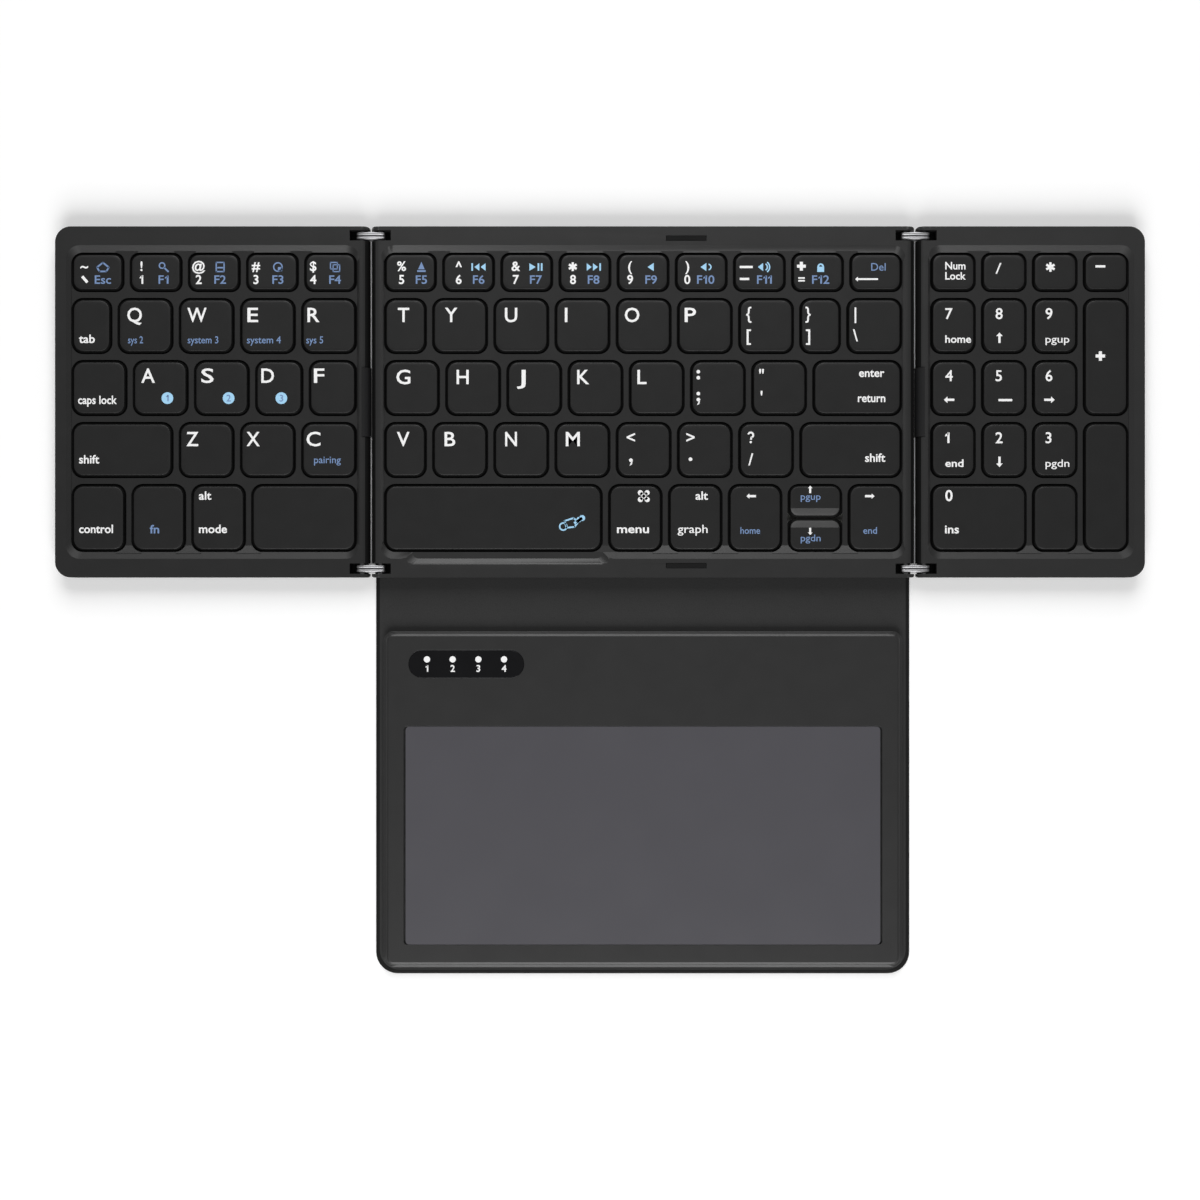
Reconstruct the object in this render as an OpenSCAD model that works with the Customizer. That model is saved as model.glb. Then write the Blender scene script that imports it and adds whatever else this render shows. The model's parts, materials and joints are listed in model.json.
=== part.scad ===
// Tri-fold keyboard with a number pad, and a flip cover that carries a touchpad.
// It lies open and flat: X runs along the keyboard, Y towards its rear edge, Z up.
// The origin is the middle of the open outline, on the table.

/* [Panels] */
// Gap between the two outer edges when both side panels are folded in
end_gap = 0.6; // [0.3:0.1:2]
// Thickness of each panel
panel_t = 5.4; // [5.2:0.05:6.2]
// Gap between two panels, edge to edge when flat and face to face when folded
fold_gap = 0.4; // [0.3:0.05:0.6]
// Thickness of the base shell of each panel
base_t = 0.8; // [0.6:0.05:1]
// Corner radius of the open keyboard, seen from above
corner_r = 4.8; // [2:0.1:7]
// Corner radius beside a fold, seen from above
fold_corner_r = 1.2; // [0.4:0.1:1.6]

/* [Rims] */
// Rear rim, from the panel edge to the first row of keys
rear_rim = 8.25; // [7.4:0.05:10]
// Front rim, from the last row of keys to the panel edge
front_rim = 8.2; // [7.4:0.05:10]
// Outer rim of the side panels
side_rim = 5.1; // [4:0.05:8]
// Fold rim of the left panel, from its keys to the fold line
left_fold_rim = 4.5; // [4.2:0.05:6]
// Fold rims of the centre panel
centre_fold_rim = 4.45; // [4.2:0.05:6]
// Fold rim of the right panel
right_fold_rim = 4.8; // [4.2:0.05:6]
// Width of the slope from the rear and front rims down to the keys
rim_slope = 2.1; // [1:0.1:2.6]
// Width of the slope from the outer side rims down to the keys
side_slope = 1.4; // [0.8:0.1:2]
// Width of the slope beside a fold
fold_slope = 0.8; // [0.4:0.05:1]
// Height of the upright lip at the foot of the slopes
lip_t = 0.25; // [0.15:0.05:0.35]
// How far the key grid reaches under the lip
grid_tuck = 0.9; // [0.6:0.05:1.1]

/* [Keys] */
// Width of a letter key
letter_w = 16.45; // [15.5:0.05:16.6]
// Width of the tab key
tab_w = 11.8; // [8:0.05:20]
// Width of a number pad key
pad_key_w = 13.3; // [11:0.05:16]
// Gap between neighbouring keycaps in a row
key_gap = 2.3; // [2.1:0.05:2.6]
// Gap between two rows of keycaps
row_gap = 2.55; // [2.2:0.05:3]
// Depth of the number row keys
number_d = 11.3; // [10:0.1:13]
// Depth of the letter keys
letter_d = 16.45; // [15:0.05:18]
// Depth of the bottom row keys
bottom_d = 20.1; // [18:0.1:22]
// Width of the modifier and arrow keys in the bottom row
bottom_w = 16.05; // [15:0.05:16.5]
// Width of the half-width bracket key
bracket_w = 12.1; // [10:0.1:13]
// Corner radius of the keycaps
key_r = 3.1; // [1:0.1:3.6]
// Corner radius of the number row keycaps
number_r = 2.6; // [1:0.1:3.4]
// Width of the sloping edge round the top of each keycap
key_bevel = 0.4; // [0.1:0.05:0.5]
// Drop of that sloping edge
key_fall = 0.7; // [0.2:0.05:0.8]
// Gap all round a keycap in the key grid
cap_clearance = 0.4; // [0.3:0.05:0.45]
// Height of the keycaps above the key grid
cap_proud = 0.6; // [0.35:0.05:0.7]
// How far the keycaps lie below the rim
key_recess = 0.5; // [0.5:0.05:0.8]
// Width of the flange that keeps each keycap under the grid
flange_w = 0.3; // [0.2:0.05:0.4]
// Thickness of that flange
flange_t = 0.3; // [0.2:0.05:0.4]
// Slack between the flange and the grid
flange_slack = 0.05; // [0.02:0.01:0.1]
// Gap between the up and down arrow keys
arrow_gap = 0.5; // [0.4:0.05:1]
// Width of the sloping strip on the up and down arrow keys
arrow_slope = 2.7; // [1.5:0.1:4]
// Drop of that sloping strip
arrow_drop = 0.6; // [0.3:0.05:0.8]

/* [Switch layers] */
// Thickness of the key grid
grid_t = 0.6; // [0.5:0.05:0.8]
// Thickness of the switch sheet, with its backing plate
switch_t = 0.5; // [0.3:0.05:0.6]
// Thickness of the rubber sheet under the domes
dome_sheet_t = 0.2; // [0.15:0.05:0.3]
// Radius of a dome at its foot
dome_r = 2.8; // [2:0.1:3.4]
// Radius of the flat top of a dome
dome_top_r = 1.5; // [1:0.1:1.9]

/* [Hinges] */
// Width of a hinge link
link_w = 2.6; // [2:0.1:3]
// Distance from a panel end to the middle of its hinge link
link_inset = 2.7; // [2.3:0.05:2.8]
// Radius of the eye at each end of a link
eye_r = 1.5; // [1.3:0.05:1.6]
// Height of the arch of a link above its pins
link_arch = 2.2; // [1.8:0.05:2.3]
// Width of the groove along the top of a link
link_groove = 0.9; // [0.5:0.05:1.2]
// Depth of that groove
groove_depth = 0.35; // [0.2:0.05:0.5]
// Radius of the hinge pins
pin_r = 0.75; // [0.5:0.05:0.8]
// Running clearance round a pin in a link eye
pin_clearance = 0.03; // [0.02:0.01:0.08]
// Length of the pin seat on the inner side of a link
pin_seat = 1.7; // [1:0.1:1.8]
// Length of the pin seat on the outer side of a link
pin_tip = 0.4; // [0.3:0.05:0.5]
// Free space on each side of a link in its slot
slot_side = 0.3; // [0.2:0.05:0.4]
// Length of the slot beyond a pin
slot_reach = 3.4; // [2.6:0.1:3.6]
// Length of the rubber boot over the flat cable in each fold
boot_len = 21.3; // [15:0.1:30]
// How far a boot stands proud of the rounded fold edge
boot_proud = 0.3; // [0.1:0.05:0.32]

/* [Thumb scoop] */
// Distance from the left end of the space bar to the floor of the scoop
scoop_start = 8.3; // [6:0.1:20]
// Length of the floor of the scoop
scoop_len = 58.4; // [20:0.1:70]
// How far the floor of the scoop runs in front of the space bar
scoop_floor = 2.4; // [1:0.1:2.6]
// Width of the steep wall of the scoop
scoop_wall = 2.1; // [1:0.1:2.2]
// Width of the shallow brow in front of that wall
scoop_brow = 1.3; // [0.5:0.1:1.5]
// Corner radius of the scoop, seen from above
scoop_r = 2; // [1:0.1:2.5]

/* [Bumpers and feet] */
// Length of a bumper pad
pad_len = 12.2; // [8:0.1:16]
// Width of a bumper pad
pad_w = 1.4; // [1:0.1:1.8]
// Distance from a panel end to the middle of a bumper pad
pad_inset = 3.6; // [2.6:0.1:3.8]
// Depth of the pocket of a bumper pad
pad_pocket = 0.8; // [0.5:0.1:1]
// How far a bumper pad stands proud of the rim
pad_proud = 0.2; // [0.1:0.05:0.25]
// Length of a rubber foot
foot_len = 14; // [8:0.5:20]
// Width of a rubber foot
foot_w = 5; // [3:0.5:8]
// Distance from the panel edges to a rubber foot
foot_inset = 6; // [5:0.5:12]

/* [Cover] */
// Thickness of the cover sheet
cover_t = 0.8; // [0.6:0.05:1]
// Distance from the front of the keyboard to the front of the cover
cover_reach = 122.3; // [112:0.1:126]
// Distance from each fold line to the side edge of the cover
cover_inset = 1.1; // [0.8:0.1:4]
// Distance from the rear of the keyboard to the rear edge of the cover
cover_setback = 1.2; // [1:0.1:4]
// Corner radius of the front of the cover
cover_r = 6.7; // [4:0.1:9]
// Corner radius of the rear of the cover
cover_rear_r = 3; // [1.5:0.1:5]
// Gap between the folding sections of the cover
crease_gap = 0.1; // [0.05:0.01:0.2]
// Space between the closed cover and what it closes over
closing_gap = 0.1; // [0.1:0.05:0.6]
// Space between the upright spine and the front of the keyboard
spine_gap = 0.15; // [0.1:0.05:0.4]

/* [Touchpad] */
// Distance from the side edges of the cover to the touchpad case
case_border = 2.6; // [2:0.1:6]
// Distance from the front edge of the cover to the touchpad case
case_front = 2.4; // [1.5:0.1:5]
// Corner radius of the touchpad case
case_r = 3; // [2:0.1:4]
// Bevel round the top of the touchpad case
case_bevel = 1.2; // [0.4:0.1:1.2]
// Wall of the touchpad case
case_wall = 1.2; // [1:0.1:1.5]
// Top wall of the touchpad case
case_top = 0.8; // [0.6:0.05:0.9]
// Bottom plate of the touchpad case
case_floor = 0.4; // [0.3:0.05:0.5]
// Distance from the sides of the case to the touch surface
touch_side = 6.8; // [4.5:0.1:20]
// Distance from the front of the case to the touch surface
touch_front = 7; // [5:0.1:12]
// Distance from the touch surface to the rear of the case
touch_rear = 29.25; // [26:0.05:45]
// Corner radius of the touch surface
touch_r = 1.2; // [0.6:0.1:3]
// How far the touch surface lies below the top of the case
touch_recess = 0.15; // [0.1:0.05:0.3]
// Overlap of the touchpad board under the case on each side
board_lap = 1.5; // [1:0.1:2.5]
// Thickness of the circuit boards
board_t = 0.7; // [0.5:0.05:0.8]
// Length of the status window
window_len = 35.4; // [25:0.1:45]
// Width of the status window
window_w = 8.5; // [6:0.1:10]
// Distance from the left side of the touch surface to the status window
window_inset = 1; // [0:0.1:10]
// Distance from the rear of the case to the status window
window_rear = 5.8; // [4:0.1:9]
// Clearance round parts that drop into an opening
drop_in = 0.1; // [0.05:0.01:0.15]
// Length of the battery
battery_len = 84; // [50:1:100]
// Width of the battery
battery_w = 20; // [12:0.5:22]
// Thickness of the battery
battery_t = 1.3; // [1.15:0.05:2]
// Space between the battery and the top wall of the case
battery_slack = 0.1; // [0.1:0.05:0.4]

/* [Charging socket] */
// Distance from the left fold line to the middle of the socket
socket_x = 36; // [26:1:70]
// Width of the socket shell
socket_w = 8.94; // [8.9:0.01:9]
// Height of the socket shell
socket_h = 3.26; // [3.2:0.01:3.3]
// Bare strip of the main board in front of the socket shell
socket_lap = 0.25; // [0.1:0.05:1]
// Wall of the socket shell
socket_wall = 0.3; // [0.2:0.05:0.4]
// Width of the contact tongue
tongue_w = 6.69; // [6.6:0.01:6.8]
// Thickness of the contact tongue
tongue_t = 0.7; // [0.6:0.05:0.8]
// Length of the main board
main_board_len = 40; // [20:1:50]
// Wall between the main board and the rear edge
main_board_wall = 1; // [0.6:0.1:2]
// Free height above the main board
board_room = 1.4; // [0.8:0.1:2]

/* [Hidden] */
$fn = 48;
tiny = 0.01;

// Widths of the panels: the rims and the widest rows of keys
pitch = letter_w + key_gap;
left_field_w = tab_w + 4 * pitch;
right_field_w = 4 * pad_key_w + 3 * key_gap;
left_w = side_rim + left_field_w + left_fold_rim;
right_w = right_fold_rim + right_field_w + side_rim;
centre_w = left_w + right_w + end_gap;
centre_field_w = centre_w - 2 * centre_fold_rim;

// Outline of the open keyboard and its cover
row_d = [number_d, letter_d, letter_d, letter_d, bottom_d];
field_d = number_d + 3 * letter_d + bottom_d + 4 * row_gap;
board_d = rear_rim + field_d + front_rim;
rear_y = (board_d + cover_reach) / 2;
front_y = rear_y - board_d;
mid_y = (rear_y + front_y) / 2;
cover_front_y = front_y - cover_reach;
left_x = -(left_w + centre_w + right_w) / 2;
left_fold = left_x + left_w;
right_fold = left_fold + centre_w;
right_x = right_fold + right_w;

// Heights, measured from the underside of a panel
key_top = panel_t - key_recess;
grid_top = key_top - cap_proud;
grid_bottom = grid_top - grid_t;
flange_top = grid_bottom - flange_slack;
flange_bottom = flange_top - flange_t;
dome_top = flange_bottom - flange_slack;
switch_top = base_t + switch_t;
dome_foot = switch_top + dome_sheet_t;
lip_top = grid_top + lip_t;

// Hinge pins lie half way up the rounded fold edges
edge_r = panel_t / 2;
pin_z = edge_r;
pin_x = edge_r + fold_gap / 2;
link_ys = [rear_y - link_inset, front_y + link_inset];
slot_w = link_w + 2 * slot_side;
pin_in = slot_w / 2 + pin_seat;
pin_out = slot_w / 2 + pin_tip;

// Key fields: left edge, right edge, and the widths of the keys of each row
left_field = [left_x + side_rim, left_fold - left_fold_rim];
centre_field = [left_fold + centre_fold_rim, right_fold - centre_fold_rim];
right_field = [right_fold + right_fold_rim, right_x - side_rim];
field_rear = rear_y - rear_rim;
field_front = front_y + front_rim;
caps_d_f_w = (left_field_w - 3 * pitch - key_gap) / 2;
left_shift_w = left_field_w - 3 * pitch;
left_space_w = left_field_w - 3 * (bottom_w + key_gap);
left_rows = [
    even_row(left_field_w, 5),
    [tab_w, letter_w, letter_w, letter_w, letter_w],
    [letter_w, letter_w, letter_w, caps_d_f_w, caps_d_f_w],
    [left_shift_w, letter_w, letter_w, letter_w],
    [bottom_w, bottom_w, bottom_w, left_space_w]];
first_w = centre_field_w - 7 * pitch - bracket_w - key_gap;
enter_w = centre_field_w - 7 * pitch;
right_shift_w = centre_field_w - first_w - key_gap - 6 * pitch;
space_w = centre_field_w - 5 * (bottom_w + key_gap);
centre_rows = [
    even_row(centre_field_w, 9),
    [first_w, letter_w, letter_w, letter_w, letter_w, letter_w, letter_w, bracket_w, letter_w],
    [letter_w, letter_w, letter_w, letter_w, letter_w, letter_w, letter_w, enter_w],
    [first_w, letter_w, letter_w, letter_w, letter_w, letter_w, letter_w, right_shift_w],
    [space_w, bottom_w, bottom_w, bottom_w, bottom_w, bottom_w]];
right_rows = [
    [pad_key_w, pad_key_w, pad_key_w, pad_key_w],
    [pad_key_w, pad_key_w, pad_key_w],
    [pad_key_w, pad_key_w, pad_key_w],
    [pad_key_w, pad_key_w, pad_key_w],
    [2 * pad_key_w + key_gap, pad_key_w]];
last_row = len(row_d) - 1;
half_arrow_d = (bottom_d - arrow_gap) / 2;

// Where the folded outer edges meet above the centre panel
meeting_x = (left_fold + left_w + right_fold - right_w) / 2;

// The cover folds about two lines in the middle of its thickness
cover_left = left_fold + cover_inset;
cover_right = right_fold - cover_inset;
cover_rear_y = rear_y - cover_setback;
crease_r = cover_t / 2;
stack_t = 2 * panel_t + fold_gap + cover_t;
case_t = case_floor + battery_t + battery_slack + case_top;
spine_len = stack_t + cover_t + case_t + closing_gap;
spine_y = front_y - spine_gap - crease_r;
flap_y = spine_y - spine_len;

// Touchpad case and its contents, heights measured from the cover sheet
case_x0 = cover_left + case_border;
case_x1 = cover_right - case_border;
case_y0 = cover_front_y + case_front;
case_y1 = flap_y - crease_r - crease_gap;
roof_z = cover_t + case_t - case_top;
board_z = roof_z - board_t;
touch_x0 = case_x0 + touch_side;
touch_x1 = case_x1 - touch_side;
touch_y0 = case_y0 + touch_front;
touch_y1 = case_y1 - touch_rear;
window_x0 = touch_x0 + window_inset;
window_y0 = case_y1 - window_rear - window_w;
window_x1 = window_x0 + window_len;
battery_x0 = (window_x1 + case_x1 - battery_len) / 2;
battery_y0 = (case_y1 - case_wall + touch_y1 + board_lap - battery_w) / 2;

// Charging socket on the main board, in the rear rim of the centre panel
socket_mid_x = left_fold + socket_x;
main_board_y1 = rear_y - main_board_wall;
main_board_y0 = field_rear + cap_clearance + grid_tuck + 2 * drop_in;
socket_y0 = main_board_y0 + socket_lap;
socket_y1 = rear_y - drop_in;
socket_z = base_t + board_t;

// Widths of n equal keys that fill a row
function even_row(w, n) = [for (i = [1:n]) (w - (n - 1) * key_gap) / n];
// Distance from the start of a row to its key number i
function run(widths, i) = i == 0 ? 0 : run(widths, i - 1) + widths[i - 1] + key_gap;
// Rear edge of a row of keys
function row_y(row) = row == 0 ? field_rear : row_y(row - 1) - row_d[row - 1] - row_gap;
// Corner, width, depth and corner radius of one key
function key_box(field, rows, row, i) = [
    field[0] + run(rows[row], i), row_y(row) - row_d[row], rows[row][i], row_d[row],
    row == 0 ? number_r : key_r];
function row_boxes(field, rows, row) =
    [for (i = [0:len(rows[row]) - 1]) key_box(field, rows, row, i)];
function all_boxes(field, rows) =
    [for (row = [0:last_row]) for (box = row_boxes(field, rows, row)) box];
// A tall number pad key in the last column, from one row down to another
function tall_box(top, bottom) = [
    right_field[1] - pad_key_w, row_y(bottom) - row_d[bottom], pad_key_w,
    row_y(top) - row_y(bottom) + row_d[bottom], key_r];

left_boxes = all_boxes(left_field, left_rows);
centre_boxes = all_boxes(centre_field, centre_rows);
plus_box = tall_box(1, 2);
pad_enter_box = tall_box(last_row - 1, last_row);
right_boxes = concat(all_boxes(right_field, right_rows), [plus_box, pad_enter_box]);
arrow_box = key_box(centre_field, centre_rows, last_row, len(centre_rows[last_row]) - 2);
down_box = [arrow_box[0], arrow_box[1], arrow_box[2], half_arrow_d, number_r];
up_box = [arrow_box[0], arrow_box[1] + half_arrow_d + arrow_gap, arrow_box[2], half_arrow_d,
    number_r];

// ---- Shared shapes ----

// Rectangle with one corner radius at its x0 end and another at its x1 end
module outline(x0, x1, y0, y1, r0, r1) {
    translate([x0 + r0, y0]) square([x1 - x0 - r0 - r1, y1 - y0]);
    translate([x0, y0 + r0]) square([x1 - x0 - r1, y1 - y0 - 2 * r0]);
    translate([x0 + r0, y0 + r1]) square([x1 - x0 - r0, y1 - y0 - 2 * r1]);
    for (y = [y0 + r0, y1 - r0]) translate([x0 + r0, y]) circle(r0);
    for (y = [y0 + r1, y1 - r1]) translate([x1 - r1, y]) circle(r1);
}

module box_outline(box, grow) {
    outline(box[0] - grow, box[0] + box[2] + grow, box[1] - grow, box[1] + box[3] + grow,
        box[4] + grow, box[4] + grow);
}

module slab(z0, z1) {
    translate([0, 0, z0]) linear_extrude(z1 - z0) children();
}

// Extrudes an XZ drawing from y0 to y1
module along_y(y0, y1) {
    translate([0, y1, 0]) rotate([90, 0, 0]) linear_extrude(y1 - y0) children();
}

// Extrudes a YZ drawing from x0 to x1
module along_x(x0, x1) {
    translate([x0, 0, 0]) rotate([90, 0, 90]) linear_extrude(x1 - x0) children();
}

module rod_y(x, z, r, y0, y1) {
    translate([x, y1, z]) rotate([90, 0, 0]) cylinder(h = y1 - y0, r = r);
}

// Everything of a panel stands on the thickness of the cover
module on_cover() {
    translate([0, 0, cover_t]) children();
}

// ---- Panels ----

// Solid body of a panel between two heights. A fold end is rounded about its hinge pin.
module panel_body(x0, x1, fold0, fold1, z0, z1) {
    r0 = fold0 ? fold_corner_r : corner_r;
    r1 = fold1 ? fold_corner_r : corner_r;
    flat0 = fold0 ? x0 + pin_x : x0 - tiny;
    flat1 = fold1 ? x1 - pin_x : x1 + tiny;
    intersection() {
        slab(z0, z1) outline(x0, x1, front_y, rear_y, r0, r1);
        along_y(front_y - tiny, rear_y + tiny) {
            translate([flat0, 0]) square([flat1 - flat0, panel_t]);
            if (fold0) translate([flat0, pin_z]) circle(edge_r);
            if (fold1) translate([flat1, pin_z]) circle(edge_r);
        }
    }
}

// Slot for a hinge link, open to the top and to the fold edge at x
module link_slots(x, side) {
    for (y = link_ys)
        translate([side > 0 ? x - tiny : x - pin_x - slot_reach, y - slot_w / 2, base_t])
            cube([pin_x + slot_reach + tiny, slot_w, panel_t]);
}

// Pins on one side of a fold. Side is 1 where the panel lies to the right of the fold.
module fold_pins(fold, side, r) {
    x = fold + side * pin_x;
    rod_y(x, pin_z, r, link_ys[0] - pin_in, link_ys[0] + pin_out);
    rod_y(x, pin_z, r, link_ys[1] - pin_out, link_ys[1] + pin_in);
}

// Pocket of the flex boot in a fold edge
module boot_pocket(fold, side) {
    x = side > 0 ? fold - tiny : fold - pin_x + boot_proud;
    translate([x, mid_y - boot_len / 2, -tiny])
        cube([pin_x - boot_proud + tiny, boot_len, panel_t + 2 * tiny]);
}

// Sloping well over a key field: spread0 and spread1 are the slopes at its two ends
module well(field, spread0, spread1) {
    c = cap_clearance;
    r = key_r + c;
    x0 = field[0] - c;
    x1 = field[1] + c;
    y0 = field_front - c;
    y1 = field_rear + c;
    top_r = r + spread0 / 2;
    hull() {
        slab(lip_top - tiny, lip_top) outline(x0, x1, y0, y1, r, r, $fn = 32);
        slab(panel_t, panel_t + tiny)
            outline(x0 - spread0, x1 + spread1, y0 - rim_slope, y1 + rim_slope,
                top_r, top_r, $fn = 32);
    }
}

// Frame round the keys, with its well, its ledge over the key grid and its cavity
module bezel(x0, x1, fold0, fold1, field, spread0, spread1) {
    c = cap_clearance;
    tuck = c + grid_tuck + drop_in / 2;
    difference() {
        panel_body(x0, x1, fold0, fold1, base_t, panel_t);
        well(field, spread0, spread1);
        slab(grid_top - tiny, lip_top)
            outline(field[0] - c, field[1] + c, field_front - c, field_rear + c,
                key_r + c, key_r + c);
        slab(base_t - tiny, grid_top)
            outline(field[0] - tuck, field[1] + tuck, field_front - tuck, field_rear + tuck,
                key_r + tuck, key_r + tuck);
        if (fold0) {
            link_slots(x0, 1);
            fold_pins(x0, 1, pin_r);
        }
        if (fold1) {
            link_slots(x1, -1);
            fold_pins(x1, -1, pin_r);
        }
    }
}

// Flat grid between the keycaps, tucked under the lip of the bezel
module key_grid(field, boxes) {
    g = cap_clearance + grid_tuck;
    difference() {
        slab(grid_bottom, grid_top)
            outline(field[0] - g, field[1] + g, field_front - g, field_rear + g,
                key_r + g, key_r + g);
        for (box = boxes)
            slab(grid_bottom - tiny, grid_top + tiny) box_outline(box, cap_clearance);
    }
}

// Outline of the sheets under a key field, inside the cavity of the bezel
module sheet_outline(field) {
    g = cap_clearance + grid_tuck - drop_in;
    outline(field[0] - g, field[1] + g, field_front - g, field_rear + g, key_r + g, key_r + g);
}

module switch_sheet(field) {
    slab(base_t, switch_top) sheet_outline(field);
}

// Rubber sheet with one dome under the middle of each key
module dome_sheet(field, boxes) {
    slab(switch_top, dome_foot) sheet_outline(field);
    for (box = boxes)
        translate([box[0] + box[2] / 2, box[1] + box[3] / 2, dome_foot - tiny])
            cylinder(h = dome_top - dome_foot + tiny, r1 = min(dome_r, box[3] / 3),
                r2 = dome_top_r);
}

module flex_boot(fold, side) {
    x = fold + side * pin_x;
    r = edge_r + boot_proud;
    y0 = mid_y - boot_len / 2 + drop_in;
    y1 = mid_y + boot_len / 2 - drop_in;
    intersection() {
        rod_y(x, pin_z, r, y0, y1);
        translate([side > 0 ? x - r : x + boot_proud, y0, pin_z - r])
            cube([r - boot_proud, y1 - y0, 2 * r]);
    }
}

module feet(x0, x1) {
    for (x = [x0 + foot_inset, x1 - foot_inset - foot_len])
        for (y = [front_y + foot_inset, rear_y - foot_inset - foot_w])
            slab(0, cover_t)
                outline(x, x + foot_len, y, y + foot_w, foot_w / 2 - tiny, foot_w / 2 - tiny);
}

// ---- Keys ----

// Bevelled top outline of a keycap, for its side of length w. The slopes at its two ends
// are 0, or the width of a sloping strip. The outline runs on past the sides of the cap.
module cap_profile(start, w, slope0, slope1) {
    run0 = max(key_bevel, slope0);
    run1 = max(key_bevel, slope1);
    fall0 = (slope0 > 0 ? arrow_drop : key_fall) * (run0 + key_gap / 2) / run0;
    fall1 = (slope1 > 0 ? arrow_drop : key_fall) * (run1 + key_gap / 2) / run1;
    x0 = start - key_gap / 2;
    x1 = start + w + key_gap / 2;
    polygon([
        [x0, 0], [x1, 0], [x1, key_top - fall1], [start + w - run1, key_top],
        [start + run0, key_top], [x0, key_top - fall0]]);
}

// A keycap with the flange that holds it under the grid. No flange shows where a
// neighbour shares its opening: slope0 and slope1 mark such a front or rear side.
module key(box, slope0 = 0, slope1 = 0) {
    f = cap_clearance + flange_w;
    x0 = box[0];
    x1 = box[0] + box[2];
    y0 = box[1];
    y1 = box[1] + box[3];
    intersection() {
        slab(flange_bottom, key_top) box_outline(box, 0);
        along_y(y0 - tiny, y1 + tiny) cap_profile(x0, box[2], 0, 0);
        along_x(x0 - tiny, x1 + tiny) cap_profile(y0, box[3], slope0, slope1);
    }
    slab(flange_bottom, flange_top)
        outline(x0 - f, x1 + f, y0 - (slope0 > 0 ? 0 : f), y1 + (slope1 > 0 ? 0 : f),
            box[4], box[4]);
}

// Keys number a to b of one row
module row_keys(field, rows, row, a, b) {
    for (i = [a:b]) key(key_box(field, rows, row, i));
}

// ---- Hinge links ----

// Side outline of a link: two eyes, a bar and an arched back, lowered by drop
module link_outline(drop) {
    half = pin_x + eye_r / 2;
    rise = link_arch - eye_r;
    arc_r = (half * half + rise * rise) / (2 * rise);
    for (x = [-pin_x, pin_x]) translate([x, 0]) circle(eye_r - drop);
    translate([-pin_x, drop - eye_r]) square([2 * pin_x, 2 * (eye_r - drop)]);
    intersection() {
        translate([0, link_arch - arc_r - drop]) circle(arc_r, $fn = 96);
        translate([-pin_x, -eye_r + drop]) square([2 * pin_x, eye_r + link_arch]);
    }
}

module links(fold) {
    cheek = (link_w - link_groove) / 2;
    for (y = link_ys)
        difference() {
            translate([fold, 0, pin_z]) {
                along_y(y - link_w / 2, y - link_w / 2 + cheek) link_outline(0);
                along_y(y - link_groove / 2, y + link_groove / 2) link_outline(groove_depth);
                along_y(y + link_w / 2 - cheek, y + link_w / 2) link_outline(0);
            }
            for (x = [fold - pin_x, fold + pin_x])
                rod_y(x, pin_z, pin_r + pin_clearance, y - link_w, y + link_w);
        }
}

// ---- Sub-parts of the left panel ----

module left_bezel() {
    color("#363636") on_cover() difference() {
        bezel(left_x, left_fold, false, true, left_field, side_slope, fold_slope);
        boot_pocket(left_fold, -1);
    }
}

module left_key_grid() {
    color("#343434") on_cover() key_grid(left_field, left_boxes);
}

module left_base() {
    color("#303030") on_cover() difference() {
        panel_body(left_x, left_fold, false, true, 0, base_t);
        boot_pocket(left_fold, -1);
    }
}

module left_switch_sheet() {
    color("#8a8f94") on_cover() switch_sheet(left_field);
}

module left_dome_sheet() {
    color("#c8c8c4") on_cover() dome_sheet(left_field, left_boxes);
}

module left_hinge_pins() {
    color("#b8b8ba") on_cover() fold_pins(left_fold, -1, pin_r);
}

module left_flex_boot() {
    color("#1c1c1c") on_cover() flex_boot(left_fold, -1);
}

module left_feet() {
    color("#1e1e1e") feet(left_x, left_fold - pin_x);
}

// ---- Sub-parts of the centre panel ----

// Dip in the front rim below the space bar, for the thumbs
module scoop() {
    x0 = centre_field[0] + scoop_start;
    x1 = x0 + scoop_len;
    floor_y = field_front - scoop_floor;
    brow_z = panel_t - lip_t / 2;
    r = scoop_r;
    hull() {
        slab(lip_top - tiny, lip_top) outline(x0, x1, floor_y, mid_y, r, r, $fn = 32);
        slab(panel_t, panel_t + tiny)
            outline(x0 - scoop_wall, x1 + scoop_wall, floor_y - scoop_wall, mid_y,
                r, r, $fn = 32);
    }
    hull() {
        slab(brow_z - tiny, brow_z)
            outline(x0 - scoop_wall, x1 + scoop_wall, floor_y - scoop_wall, field_front,
                r, r, $fn = 32);
        slab(panel_t, panel_t + tiny)
            outline(x0 - scoop_wall - scoop_brow, x1 + scoop_wall + scoop_brow,
                floor_y - scoop_wall - scoop_brow, field_front, r, r, $fn = 32);
    }
}

module pad_outline(grow) {
    for (y = [rear_y - pad_inset, front_y + pad_inset])
        translate([meeting_x - pad_len / 2 - grow, y - pad_w / 2 - grow])
            square([pad_len + 2 * grow, pad_w + 2 * grow]);
}

// Flat-sided oval of the charging socket, lying in the XZ plane
module socket_outline(w, h) {
    for (x = [-1, 1]) translate([x * (w - h) / 2, 0]) circle(h / 2);
    translate([(h - w) / 2, -h / 2]) square([w - h, h]);
}

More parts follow.
